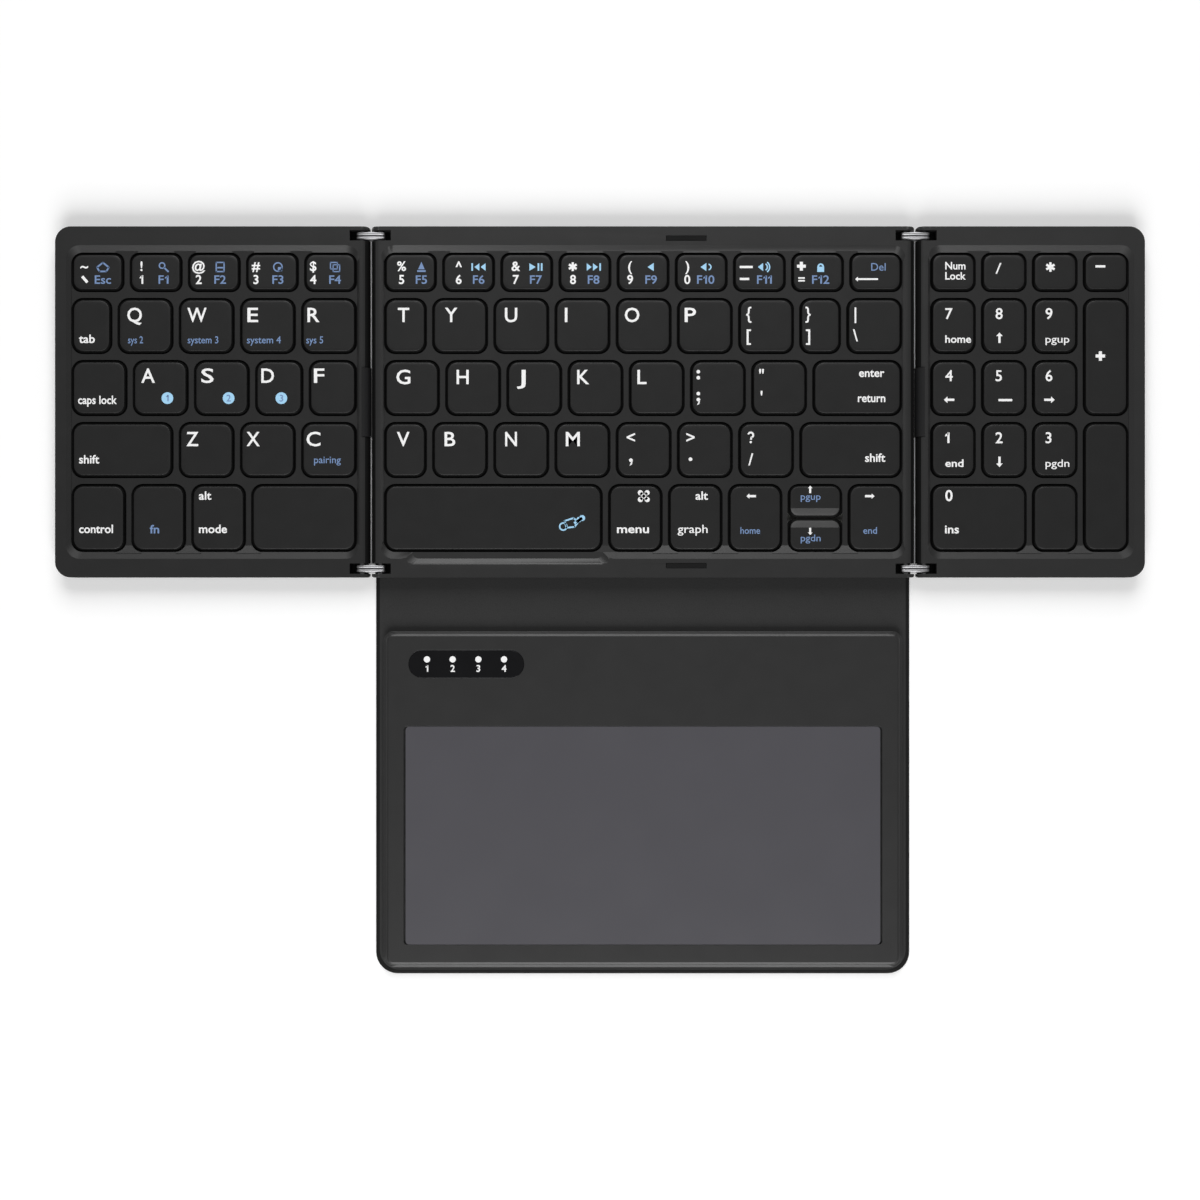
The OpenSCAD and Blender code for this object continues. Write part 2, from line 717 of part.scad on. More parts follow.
module centre_bezel() {
    color("#3a3a3a") on_cover() difference() {
        bezel(left_fold, right_fold, true, true, centre_field, fold_slope, fold_slope);
        scoop();
        slab(panel_t - pad_pocket, panel_t + tiny) pad_outline(drop_in);
        translate([socket_mid_x - main_board_len / 2 - drop_in, field_rear, base_t - tiny])
            cube([main_board_len + 2 * drop_in, main_board_y1 + drop_in - field_rear,
                board_t + board_room + tiny]);
        translate([socket_mid_x - socket_w / 2 - drop_in, socket_y0 - drop_in, socket_z])
            cube([socket_w + 2 * drop_in, main_board_y1 + 2 * drop_in - socket_y0,
                socket_h + drop_in]);
        translate([socket_mid_x, 0, socket_z + socket_h / 2])
            along_y(main_board_y1, rear_y + tiny)
                socket_outline(socket_w + drop_in, socket_h + drop_in);
    }
}

module centre_key_grid() {
    color("#383838") on_cover() key_grid(centre_field, centre_boxes);
}

module centre_base() {
    color("#303030") on_cover() panel_body(left_fold, right_fold, true, true, 0, base_t);
}

module centre_switch_sheet() {
    color("#8a8f94") on_cover() switch_sheet(centre_field);
}

module centre_dome_sheet() {
    plain = [for (box = centre_boxes) if (box != arrow_box) box];
    color("#c8c8c4") on_cover() dome_sheet(centre_field, concat(plain, [up_box, down_box]));
}

module centre_hinge_pins() {
    color("#b8b8ba") on_cover() {
        fold_pins(left_fold, 1, pin_r);
        fold_pins(right_fold, -1, pin_r);
    }
}

module bumper_pads() {
    color("#151515") on_cover()
        slab(panel_t - pad_pocket, panel_t + pad_proud) pad_outline(0);
}

module main_board() {
    color("#1f5a3a") on_cover()
        translate([socket_mid_x - main_board_len / 2, main_board_y0, base_t])
            cube([main_board_len, main_board_y1 - main_board_y0, board_t]);
}

module usb_socket() {
    inner_w = socket_w - 2 * socket_wall;
    inner_h = socket_h - 2 * socket_wall;
    color("#b0b0b4") on_cover() translate([socket_mid_x, 0, socket_z + socket_h / 2]) {
        difference() {
            along_y(socket_y0, socket_y1) socket_outline(socket_w, socket_h);
            along_y(socket_y0 + 2 * socket_wall, socket_y1 + tiny)
                socket_outline(inner_w, inner_h);
        }
        along_y(socket_y0 + socket_wall, socket_y1 - 2 * socket_wall)
            translate([-tongue_w / 2, -tongue_t / 2]) square([tongue_w, tongue_t]);
    }
}

// ---- Sub-parts of the right panel ----

module right_bezel() {
    color("#3c3c3c") on_cover() difference() {
        bezel(right_fold, right_x, true, false, right_field, fold_slope, side_slope);
        boot_pocket(right_fold, 1);
    }
}

module right_key_grid() {
    color("#383838") on_cover() key_grid(right_field, right_boxes);
}

module right_base() {
    color("#303030") on_cover() difference() {
        panel_body(right_fold, right_x, true, false, 0, base_t);
        boot_pocket(right_fold, 1);
    }
}

module right_switch_sheet() {
    color("#8a8f94") on_cover() switch_sheet(right_field);
}

module right_dome_sheet() {
    color("#c8c8c4") on_cover() dome_sheet(right_field, right_boxes);
}

module right_hinge_pins() {
    color("#b8b8ba") on_cover() fold_pins(right_fold, 1, pin_r);
}

module right_flex_boot() {
    color("#1c1c1c") on_cover() flex_boot(right_fold, 1);
}

module right_feet() {
    color("#1e1e1e") feet(right_fold + pin_x, right_x);
}

module left_hinge_links() {
    color("#b4b4b6") on_cover() links(left_fold);
}

module right_hinge_links() {
    color("#b4b4b6") on_cover() links(right_fold);
}

// ---- Cover ----

module cover_back() {
    color("#363636") slab(0, cover_t)
        translate([0, spine_y + crease_r + crease_gap])
            outline_rear(cover_rear_y - spine_y - crease_r - crease_gap);
}

// Rectangle as wide as the cover, with its two rear corners rounded
module outline_rear(d) {
    r = cover_rear_r;
    translate([cover_left, 0]) square([cover_right - cover_left, d - r]);
    translate([cover_left + r, 0]) square([cover_right - cover_left - 2 * r, d]);
    for (x = [cover_left + r, cover_right - r]) translate([x, d - r]) circle(r);
}

// The spine has a round edge at each crease
module cover_spine() {
    color("#363636") along_x(cover_left, cover_right) {
        translate([flap_y, 0]) square([spine_len, cover_t]);
        for (y = [flap_y, spine_y]) translate([y, crease_r]) circle(crease_r);
    }
}

module cover_flap() {
    y1 = case_y1;
    color("#363636") slab(0, cover_t) {
        translate([cover_left, cover_front_y + cover_r])
            square([cover_right - cover_left, y1 - cover_front_y - cover_r]);
        translate([cover_left + cover_r, cover_front_y])
            square([cover_right - cover_left - 2 * cover_r, y1 - cover_front_y]);
        for (x = [cover_left + cover_r, cover_right - cover_r])
            translate([x, cover_front_y + cover_r]) circle(cover_r);
    }
}

// ---- Touchpad ----

// Rounded plate with an even bevel round its top
module bevelled_plate(w, d, h, r, b) {
    slab(0, h - b) outline(0, w, 0, d, r, r);
    along_y(r, d - r)
        polygon([[0, h - b], [w, h - b], [w - b, h], [b, h]]);
    along_x(r, w - r)
        polygon([[0, h - b], [d, h - b], [d - b, h], [b, h]]);
    for (x = [r, w - r])
        for (y = [r, d - r])
            translate([x, y, h - b]) cylinder(h = b, r1 = r, r2 = r - b);
}

module window_outline(grow) {
    outline(window_x0 - grow, window_x1 + grow, window_y0 - grow, window_y0 + window_w + grow,
        window_w / 2 + grow - tiny, window_w / 2 + grow - tiny);
}

module touch_outline(grow) {
    outline(touch_x0 - grow, touch_x1 + grow, touch_y0 - grow, touch_y1 + grow,
        touch_r + grow, touch_r + grow);
}

module touchpad_case() {
    color("#3c3c3c") difference() {
        translate([case_x0, case_y0, cover_t])
            bevelled_plate(case_x1 - case_x0, case_y1 - case_y0, case_t, case_r, case_bevel);
        slab(cover_t - tiny, roof_z)
            outline(case_x0 + case_wall, case_x1 - case_wall, case_y0 + case_wall,
                case_y1 - case_wall, case_r - case_wall, case_r - case_wall);
        slab(roof_z - tiny, cover_t + case_t + tiny) window_outline(drop_in);
        slab(roof_z - tiny, cover_t + case_t + tiny) touch_outline(drop_in);
    }
}

module touchpad_base() {
    g = case_wall + drop_in / 2;
    color("#2c2c2c") slab(cover_t, cover_t + case_floor)
        outline(case_x0 + g, case_x1 - g, case_y0 + g, case_y1 - g, case_r - g, case_r - g);
}

module touchpad_surface() {
    color("#545358") slab(roof_z, cover_t + case_t - touch_recess) touch_outline(0);
}

// Board under the touch surface, with an arm that runs back under the status window
module touchpad_board() {
    color("#1f5a3a") slab(board_z, roof_z) {
        translate([touch_x0 - board_lap, touch_y0 - board_lap])
            square([touch_x1 - touch_x0 + 2 * board_lap, touch_y1 - touch_y0 + 2 * board_lap]);
        translate([window_x0, touch_y0])
            square([window_len, window_y0 + window_w - touch_y0]);
    }
}

module battery() {
    color("#9aa0a6") slab(cover_t + case_floor, cover_t + case_floor + battery_t)
        outline(battery_x0, battery_x0 + battery_len, battery_y0, battery_y0 + battery_w, 1, 1);
}

module status_window() {
    color("#141418") slab(roof_z, cover_t + case_t) window_outline(0);
}

// ---- Keys, named as they are used ----

module left_number_keys() {
    color("#2c2c2c") on_cover() row_keys(left_field, left_rows, 0, 0, 4);
}

module tab_key() {
    color("#2c2c2c") on_cover() row_keys(left_field, left_rows, 1, 0, 0);
}

module left_letter_keys() {
    color("#2c2c2c") on_cover() {
        row_keys(left_field, left_rows, 1, 1, 4);
        row_keys(left_field, left_rows, 2, 1, 4);
        row_keys(left_field, left_rows, 3, 1, 3);
    }
}

module caps_lock_key() {
    color("#2c2c2c") on_cover() row_keys(left_field, left_rows, 2, 0, 0);
}

module left_shift_key() {
    color("#2c2c2c") on_cover() row_keys(left_field, left_rows, 3, 0, 0);
}

module left_modifier_keys() {
    color("#2c2c2c") on_cover() row_keys(left_field, left_rows, 4, 0, 2);
}

module left_space_key() {
    color("#2c2c2c") on_cover() row_keys(left_field, left_rows, 4, 3, 3);
}

module centre_number_keys() {
    color("#2c2c2c") on_cover() row_keys(centre_field, centre_rows, 0, 0, 8);
}

module centre_letter_keys() {
    color("#2c2c2c") on_cover() {
        row_keys(centre_field, centre_rows, 1, 0, 5);
        row_keys(centre_field, centre_rows, 2, 0, 4);
        row_keys(centre_field, centre_rows, 3, 0, 3);
    }
}

module centre_symbol_keys() {
    color("#2c2c2c") on_cover() {
        row_keys(centre_field, centre_rows, 1, 6, 8);
        row_keys(centre_field, centre_rows, 2, 5, 6);
        row_keys(centre_field, centre_rows, 3, 4, 6);
    }
}

module enter_key() {
    color("#2c2c2c") on_cover() row_keys(centre_field, centre_rows, 2, 7, 7);
}

module right_shift_key() {
    color("#2c2c2c") on_cover() row_keys(centre_field, centre_rows, 3, 7, 7);
}

module space_bar() {
    color("#2c2c2c") on_cover() row_keys(centre_field, centre_rows, 4, 0, 0);
}

module right_modifier_keys() {
    color("#2c2c2c") on_cover() row_keys(centre_field, centre_rows, 4, 1, 2);
}

module left_arrow_key() {
    color("#2c2c2c") on_cover() row_keys(centre_field, centre_rows, 4, 3, 3);
}

module up_arrow_key() {
    color("#2c2c2c") on_cover() key(up_box, slope0 = arrow_slope);
}

module down_arrow_key() {
    color("#2c2c2c") on_cover() key(down_box, slope1 = arrow_slope);
}

module right_arrow_key() {
    color("#2c2c2c") on_cover() row_keys(centre_field, centre_rows, 4, 5, 5);
}

module pad_top_keys() {
    color("#2c2c2c") on_cover() row_keys(right_field, right_rows, 0, 0, 3);
}

module pad_digit_keys() {
    color("#2c2c2c") on_cover()
        for (row = [1:3]) row_keys(right_field, right_rows, row, 0, 2);
}

module pad_plus_key() {
    color("#2c2c2c") on_cover() key(plus_box);
}

module pad_enter_key() {
    color("#2c2c2c") on_cover() key(pad_enter_box);
}

module pad_zero_key() {
    color("#2c2c2c") on_cover() row_keys(right_field, right_rows, 4, 0, 0);
}

module pad_point_key() {
    color("#2c2c2c") on_cover() row_keys(right_field, right_rows, 4, 1, 1);
}

left_bezel();
left_key_grid();
left_base();
left_switch_sheet();
left_dome_sheet();
left_hinge_pins();
left_flex_boot();
left_feet();
centre_bezel();
centre_key_grid();
centre_base();
centre_switch_sheet();
centre_dome_sheet();
centre_hinge_pins();
bumper_pads();
main_board();
usb_socket();
right_bezel();
right_key_grid();
right_base();
right_switch_sheet();
right_dome_sheet();
right_hinge_pins();
right_flex_boot();
right_feet();
left_hinge_links();
right_hinge_links();
cover_back();
cover_spine();
cover_flap();
touchpad_case();
touchpad_base();
touchpad_surface();
touchpad_board();
battery();
status_window();
left_number_keys();
tab_key();
left_letter_keys();
caps_lock_key();
left_shift_key();
left_modifier_keys();
left_space_key();
centre_number_keys();
centre_letter_keys();
centre_symbol_keys();
enter_key();
right_shift_key();
space_bar();
right_modifier_keys();
left_arrow_key();
up_arrow_key();
down_arrow_key();
right_arrow_key();
pad_top_keys();
pad_digit_keys();
pad_plus_key();
pad_enter_key();
pad_zero_key();
pad_point_key();
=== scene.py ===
import json
import math

import bmesh
import bpy
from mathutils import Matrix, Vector

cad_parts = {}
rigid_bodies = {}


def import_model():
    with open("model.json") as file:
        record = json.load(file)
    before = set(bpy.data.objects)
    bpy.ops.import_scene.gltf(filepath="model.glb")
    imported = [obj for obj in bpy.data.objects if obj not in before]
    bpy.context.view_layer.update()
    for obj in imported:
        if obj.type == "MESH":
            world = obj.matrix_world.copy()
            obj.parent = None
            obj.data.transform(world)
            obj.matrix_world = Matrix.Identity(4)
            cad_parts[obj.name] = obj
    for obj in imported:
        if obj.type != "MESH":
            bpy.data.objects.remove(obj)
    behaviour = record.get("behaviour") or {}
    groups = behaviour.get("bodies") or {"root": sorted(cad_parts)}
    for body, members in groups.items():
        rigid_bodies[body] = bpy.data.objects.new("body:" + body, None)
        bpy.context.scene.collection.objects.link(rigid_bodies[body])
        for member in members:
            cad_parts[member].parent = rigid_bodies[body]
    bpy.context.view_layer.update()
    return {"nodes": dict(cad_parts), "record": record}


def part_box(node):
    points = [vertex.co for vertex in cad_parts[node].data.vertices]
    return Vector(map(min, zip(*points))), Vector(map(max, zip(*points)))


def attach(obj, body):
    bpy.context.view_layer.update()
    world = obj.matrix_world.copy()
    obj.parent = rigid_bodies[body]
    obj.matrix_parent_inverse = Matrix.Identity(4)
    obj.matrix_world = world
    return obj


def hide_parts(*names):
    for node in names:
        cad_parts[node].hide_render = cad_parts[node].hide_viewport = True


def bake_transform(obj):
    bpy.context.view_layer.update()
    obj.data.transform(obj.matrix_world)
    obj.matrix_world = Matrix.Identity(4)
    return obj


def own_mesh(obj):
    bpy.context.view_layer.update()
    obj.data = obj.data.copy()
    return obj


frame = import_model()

MM = 0.001
NODES = frame["nodes"]
BEHAVIOUR = frame["record"]["behaviour"]
BODY_OF = {node: body for body, members in BEHAVIOUR["bodies"].items() for node in members}
PARENT_OF = {joint["child"]: joint["parent"] for joint in BEHAVIOUR["joints"]}
PANELS = ("left", "centre", "right")


def node_box(node):
    """Lowest and highest corner of a CAD node, in millimetres"""
    lo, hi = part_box(node)
    return [v / MM for v in lo], [v / MM for v in hi]


# ---- Materials ----

def rgb(r, g, b):
    """Linear colour of an 8-bit display colour"""
    def linear(c):
        c = c / 255
        return c / 12.92 if c <= 0.04045 else ((c + 0.055) / 1.055) ** 2.4
    return (linear(r), linear(g), linear(b), 1.0)


def scaled(colour, factor):
    return tuple(min(1.0, c * factor) for c in colour[:3]) + (1.0,)


def new_material(name):
    mat = bpy.data.materials.new(name)
    mat.use_nodes = True
    tree = mat.node_tree
    shader = tree.nodes["Principled BSDF"]
    where = tree.nodes.new("ShaderNodeTexCoord").outputs["Object"]
    return mat, tree, shader, where


def noise(tree, where, size, detail=2.0, roughness=0.5):
    """Noise whose features are about this many millimetres across"""
    node = tree.nodes.new("ShaderNodeTexNoise")
    node.inputs["Scale"].default_value = 1 / (size * MM)
    node.inputs["Detail"].default_value = detail
    node.inputs["Roughness"].default_value = roughness
    tree.links.new(where, node.inputs["Vector"])
    return node.outputs["Fac"]


def cells(tree, where, size, feature="F1"):
    node = tree.nodes.new("ShaderNodeTexVoronoi")
    node.feature = feature
    node.inputs["Scale"].default_value = 1 / (size * MM)
    tree.links.new(where, node.inputs["Vector"])
    return node.outputs["Distance"]


def ramp(tree, value, stops):
    """Colour ramp through (position, colour) stops"""
    node = tree.nodes.new("ShaderNodeValToRGB")
    ends = node.color_ramp.elements
    while len(ends) < len(stops):
        ends.new(0.5)
    for end, (place, colour) in zip(ends, stops):
        end.position = place
        end.color = colour
    tree.links.new(value, node.inputs["Fac"])
    return node.outputs["Color"]


def map_range(tree, value, near, far):
    """Map Range node through two pairs of a value and its result"""
    node = tree.nodes.new("ShaderNodeMapRange")
    node.inputs["From Min"].default_value, node.inputs["To Min"].default_value = near
    node.inputs["From Max"].default_value, node.inputs["To Max"].default_value = far
    tree.links.new(value, node.inputs["Value"])
    return node


def spread(tree, value, low, high):
    """Maps the middle of a noise to a range of values"""
    return map_range(tree, value, (0.3, low), (0.7, high)).outputs["Result"]


def bump(tree, height, depth, below=None):
    """Bump whose height is a texture times this depth in millimetres"""
    node = tree.nodes.new("ShaderNodeBump")
    node.inputs["Strength"].default_value = 1.0
    node.inputs["Distance"].default_value = depth * MM
    tree.links.new(height, node.inputs["Height"])
    if below is not None:
        tree.links.new(below, node.inputs["Normal"])
    return node.outputs["Normal"]


def tint(tree, shader, value, colour, dark, light, stops=(0.3, 0.7)):
    """Colours the shader between a darker and a lighter share of this colour"""
    shade = ramp(tree, value, [(stops[0], scaled(colour, dark)), (stops[1], scaled(colour, light))])
    tree.links.new(shade, shader.inputs["Base Color"])


def polish(tree, shader, value, low, high):
    """Varies the shader's roughness between two values"""
    tree.links.new(spread(tree, value, low, high), shader.inputs["Roughness"])


def moulded(name, colour, rough=0.36, gloss=0.5, grain=0.35, depth=0.002, vary=0.04,
            patch=9.0):
    """Moulded plastic: fine grain, faint patches of colour and of polish"""
    mat, tree, shader, where = new_material(name)
    shader.inputs["Specular IOR Level"].default_value = gloss
    tint(tree, shader, noise(tree, where, patch, 3.0), colour, 1 - vary, 1 + vary)
    polish(tree, shader, noise(tree, where, patch * 0.6, 3.0), rough - 0.015, rough + 0.015)
    normal = bump(tree, noise(tree, where, grain, 2.0), depth)
    tree.links.new(normal, shader.inputs["Normal"])
    return mat


def grained(name, colour, rough=0.55, gloss=0.25, cell=0.6, depth=0.015, vary=0.08):
    """Coated cover cloth: pebbled grain, with painted shade in the creases between the pebbles"""
    mat, tree, shader, where = new_material(name)
    shader.inputs["Specular IOR Level"].default_value = gloss
    pebble = cells(tree, where, cell, "DISTANCE_TO_EDGE")
    # The creases are painted a fifth darker, as painted shade
    crease = ramp(tree, pebble, [(0.0, scaled(colour, 0.8)), (0.12, colour)])
    mix = tree.nodes.new("ShaderNodeMix")
    mix.data_type = "RGBA"
    mix.blend_type = "MULTIPLY"
    mix.inputs["Factor"].default_value = 1.0
    tree.links.new(crease, mix.inputs["A"])
    patches = ramp(tree, noise(tree, where, 14.0, 3.0), [
        (0.3, (1 - vary, 1 - vary, 1 - vary, 1.0)), (0.7, (1.0, 1.0, 1.0, 1.0))])
    tree.links.new(patches, mix.inputs["B"])
    tree.links.new(mix.outputs["Result"], shader.inputs["Base Color"])
    polish(tree, shader, noise(tree, where, 5.0, 2.0), rough - 0.03, rough + 0.03)
    low = bump(tree, noise(tree, where, 0.25, 2.0), depth * 0.2)
    tree.links.new(bump(tree, pebble, depth, low), shader.inputs["Normal"])
    return mat


def metal(name, colour, rough=0.3, along=(1.0, 12.0, 1.0)):
    """Satin metal with fine brushing along one axis"""
    mat, tree, shader, where = new_material(name)
    shader.inputs["Metallic"].default_value = 1.0
    mapping = tree.nodes.new("ShaderNodeMapping")
    mapping.inputs["Scale"].default_value = along
    tree.links.new(where, mapping.inputs["Vector"])
    lines = noise(tree, mapping.outputs["Vector"], 0.6, 3.0)
    tint(tree, shader, lines, colour, 0.88, 1.08)
    polish(tree, shader, lines, rough - 0.06, rough + 0.08)
    tree.links.new(bump(tree, lines, 0.002), shader.inputs["Normal"])
    return mat


def ink(name, colour):
    """Printed legend: a thin opaque film with faint mottling"""
    mat, tree, shader, where = new_material(name)
    tint(tree, shader, noise(tree, where, 0.5, 2.0), colour, 0.95, 1.03, (0.35, 0.65))
    polish(tree, shader, noise(tree, where, 0.3, 2.0), 0.45, 0.6)
    return mat


def glossy(name, colour, rough=0.12):
    """Smoked gloss plastic with faint ripple"""
    mat, tree, shader, where = new_material(name)
    tint(tree, shader, noise(tree, where, 6.0, 2.0), colour, 0.9, 1.1)
    polish(tree, shader, noise(tree, where, 3.0, 2.0), rough - 0.03, rough + 0.03)
    tree.links.new(bump(tree, noise(tree, where, 8.0, 1.0), 0.004), shader.inputs["Normal"])
    return mat


def laminate(name, colour, trace):
    """Printed sheet or circuit board: fine straight traces over a plain ground"""
    mat, tree, shader, where = new_material(name)
    brick = tree.nodes.new("ShaderNodeTexBrick")
    for socket, value in (
            ("Scale", 1 / (4.0 * MM)), ("Mortar Size", 0.03), ("Brick Width", 1.6),
            ("Row Height", 0.4), ("Color1", colour), ("Color2", scaled(colour, 0.92)),
            ("Mortar", trace)):
        brick.inputs[socket].default_value = value
    tree.links.new(where, brick.inputs["Vector"])
    tree.links.new(brick.outputs["Color"], shader.inputs["Base Color"])
    polish(tree, shader, noise(tree, where, 3.0), 0.3, 0.45)
    return mat


MATERIALS = {
    "shell": moulded("shell", rgb(35, 35, 35)),
    "shell_centre": moulded("shell_centre", rgb(40, 40, 40)),
    "base": moulded("base_shell", rgb(36, 36, 36), 0.55, 0.3, 0.5, 0.008),
    "grid": moulded("grid", rgb(33, 33, 33)),
    "keycap": moulded("keycap", rgb(31, 31, 31), 0.4, 0.36, 0.25, 0.0015),
    # Near-black painted shade on the sides and flanges of the keycaps, in the gap round each key
    "cap_painted_shade": moulded("keycap_painted_shade", rgb(6, 6, 6), 0.6, 0.1, 0.25, 0.002),
    "case": moulded("touchpad_case", rgb(41, 41, 41)),
    "touch": moulded("touch_film", rgb(77, 76, 81), 0.33, 0.5, 0.2, 0.001, 0.02, 20.0),
    # Near-black painted shade on the flanks of the bezels where they meet in a fold
    "lining": moulded("fold_lining", rgb(8, 8, 8), 0.7, 0.15, 0.4, 0.006),
    "front_slope": moulded("front_slope", rgb(39, 39, 39), 0.43, 0.3, 0.3, 0.003),
    "rubber": moulded("rubber", rgb(12, 12, 12), 0.7, 0.2, 0.4, 0.006),
    "boot": moulded("flex_boot", rgb(16, 16, 17), 0.6, 0.3, 0.4, 0.006),
    "silicone": moulded("silicone", rgb(150, 150, 146), 0.55, 0.4, 0.4, 0.004),
    "cover": grained("cover_skin", rgb(47, 47, 47)),
    "cover_edge": grained("cover_edge", rgb(30, 30, 30), 0.6, 0.1),
    "steel": metal("steel", rgb(190, 190, 192), 0.25),
    "link": metal("link_metal", rgb(172, 172, 174), 0.4, (12.0, 1.0, 1.0)),
    "window": glossy("status_window", rgb(14, 14, 16)),
    "board": laminate("circuit_board", rgb(28, 84, 54), rgb(60, 120, 84)),
    "black_board": laminate("black_circuit_board", rgb(15, 16, 16), rgb(26, 27, 26)),
    "switch": laminate("switch_laminate", rgb(138, 143, 148), rgb(196, 200, 204)),
    "foil": metal("battery_foil", rgb(154, 160, 166), 0.4),
    "white": ink("legend_white", rgb(250, 250, 250)),
    "blue": ink("legend_blue", rgb(118, 145, 188)),
    "pale": ink("legend_pale", rgb(166, 216, 248)),
}

# Material of every CAD node that isn't a keycap
PANEL_FINISH = {"key_grid": "grid", "base": "base", "switch_sheet": "switch",
                "dome_sheet": "silicone", "hinge_pins": "steel"}
FINISH = {panel + "_" + part: PANEL_FINISH[part] for panel in PANELS for part in PANEL_FINISH}
FINISH.update({
    "left_bezel": "shell", "centre_bezel": "shell_centre", "right_bezel": "shell_centre",
    "left_flex_boot": "boot", "right_flex_boot": "boot",
    "left_feet": "rubber", "right_feet": "rubber", "bumper_pads": "rubber",
    "main_board": "board", "usb_socket": "steel",
    "left_hinge_links": "link", "right_hinge_links": "link",
    "cover_back": "cover", "cover_spine": "cover", "cover_flap": "cover",
    "touchpad_case": "case", "touchpad_base": "base", "touchpad_surface": "touch",
    "touchpad_board": "black_board", "battery": "foil", "status_window": "window"})


def paint(obj, *names):
    """Gives an object these finishes, in the order of its faces' material numbers"""
    while obj.data.materials:
        obj.data.materials.pop()
    for name in names:
        obj.data.materials.append(MATERIALS[name])


# ---- Mesh helpers ----

def link_new(name, data):
    """New object of this mesh, curve, light or camera in the scene"""
    obj = bpy.data.objects.new(name, data)
    bpy.context.scene.collection.objects.link(obj)
    return obj


def object_from(bm, name, sharp=35.0):
    """Links a finished bmesh, in millimetres, as a smooth-shaded object with crisp edges"""
    bmesh.ops.recalc_face_normals(bm, faces=bm.faces)
    bmesh.ops.scale(bm, vec=(MM, MM, MM), verts=bm.verts)
    mesh = bpy.data.meshes.new(name)
    bm.to_mesh(mesh)
    bm.free()
    mesh.shade_smooth()
    mesh.set_sharp_from_angle(angle=math.radians(sharp))
    return link_new(name, mesh)


def flatten_shading(obj):
    """Lets the large faces keep their own shading, so that only the rounded edges turn"""
    weights = obj.modifiers.new("weights", "WEIGHTED_NORMAL")
    weights.keep_sharp = True
    weights.weight = 100


def stand_for(obj, node):
    """Puts a piece in the place of a CAD node"""
    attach(obj, BODY_OF[node])
    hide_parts(node)


def rounded(x0, x1, y0, y1, r, z, steps=6):
    """Points of a rounded rectangle, counter-clockwise from its right side"""
    points = []
    corners = [(x1 - r, y1 - r), (x0 + r, y1 - r), (x0 + r, y0 + r), (x1 - r, y0 + r)]
    for quarter, (cx, cy) in enumerate(corners):
        for i in range(steps + 1):
            a = math.radians(90 * (quarter + i / steps))
            points.append((cx + r * math.cos(a), cy + r * math.sin(a), z))
    return points


def loft(bm, rings):
    """Skins a stack of rings with equal numbers of points, and closes its two ends"""
    rows = [[bm.verts.new(p) for p in ring] for ring in rings]
    count = len(rows[0])
    for low, high in zip(rows, rows[1:]):
        for i in range(count):
            j = (i + 1) % count
            bm.faces.new((low[i], low[j], high[j], high[i]))
    bm.faces.new(list(reversed(rows[0])))
    bm.faces.new(rows[-1])
    return rows


WELD = 0.0015


def welded(node):
    """The CAD node's mesh in millimetres, with its facets joined"""
    bm = bmesh.new()
    bm.from_mesh(NODES[node].data)
    bmesh.ops.scale(bm, vec=(1 / MM, 1 / MM, 1 / MM), verts=bm.verts)
    bmesh.ops.remove_doubles(bm, verts=bm.verts, dist=WELD)
    return bm


def cut_plane(bm, place, across, clear=False):
    """Cuts a mesh along a plane, and clears what lies beyond it if asked"""
    parts = bm.verts[:] + bm.edges[:] + bm.faces[:]
    bmesh.ops.bisect_plane(bm, geom=parts, plane_co=place, plane_no=across,
                           clear_outer=clear)


def thicken(bm, depth):
    """Raises a second layer over flat faces, so that they become a closed film"""
    grown = bmesh.ops.extrude_face_region(bm, geom=bm.faces[:])
    top = [g for g in grown["geom"] if isinstance(g, bmesh.types.BMVert)]
    bmesh.ops.translate(bm, verts=top, vec=(0, 0, depth))


def islands(node, floor):
    """Boxes [x0, x1, y0, y1, top] of a node's solids above a height, rear row first"""
    bm = welded(node)
    left = set(bm.verts)
    boxes = []
    while left:
        stack = [left.pop()]
        group = []
        while stack:
            vert = stack.pop()
            group.append(vert.co.copy())
            for edge in vert.link_edges:
                other = edge.other_vert(vert)
                if other in left:
                    left.remove(other)
                    stack.append(other)
        high = [c for c in group if c.z > floor]
        boxes.append([
            min(c.x for c in high), max(c.x for c in high),
            min(c.y for c in high), max(c.y for c in high), max(c.z for c in high)])
    bm.free()
    return sorted(boxes, key=lambda b: (-round(b[3]), b[0]))


# ---- Keycaps ----

FLANGE_TOP = 4.45
KEY_NODES = sorted(n for n in NODES if n.endswith("_key") or n.endswith("_keys")
                   or n == "space_bar")
KEYS = {node: islands(node, FLANGE_TOP + 0.1) for node in KEY_NODES}
NUMBER_ROW_DEPTH = 12.0
KEY_R = 3.1
NUMBER_KEY_R = 2.6
# Inset from the key's outline and drop below its top, from the foot of its side upward
CAP_STEPS = [
    (0.0, 1.25), (0.0, 0.8), (0.18, 0.5), (0.38, 0.2), (0.55, 0.07), (0.7, 0.025),
    (1.2, 0.005), (1.35, 0.0), (1.5, 0.0)]
# Rings of a cap's side, above its two flange rings, painted near-black as shade
PAINTED_SHADE_RINGS = 5
FLANGE_REACH = 0.7
FLANGE_T = 0.3
STRIP_LEN = 2.7
STRIP_DROP = 0.9
# Steepest turn between faces that still shades as one surface, in degrees
CAP_SHARP = 40.0
STRIP_SHARP = 9.0


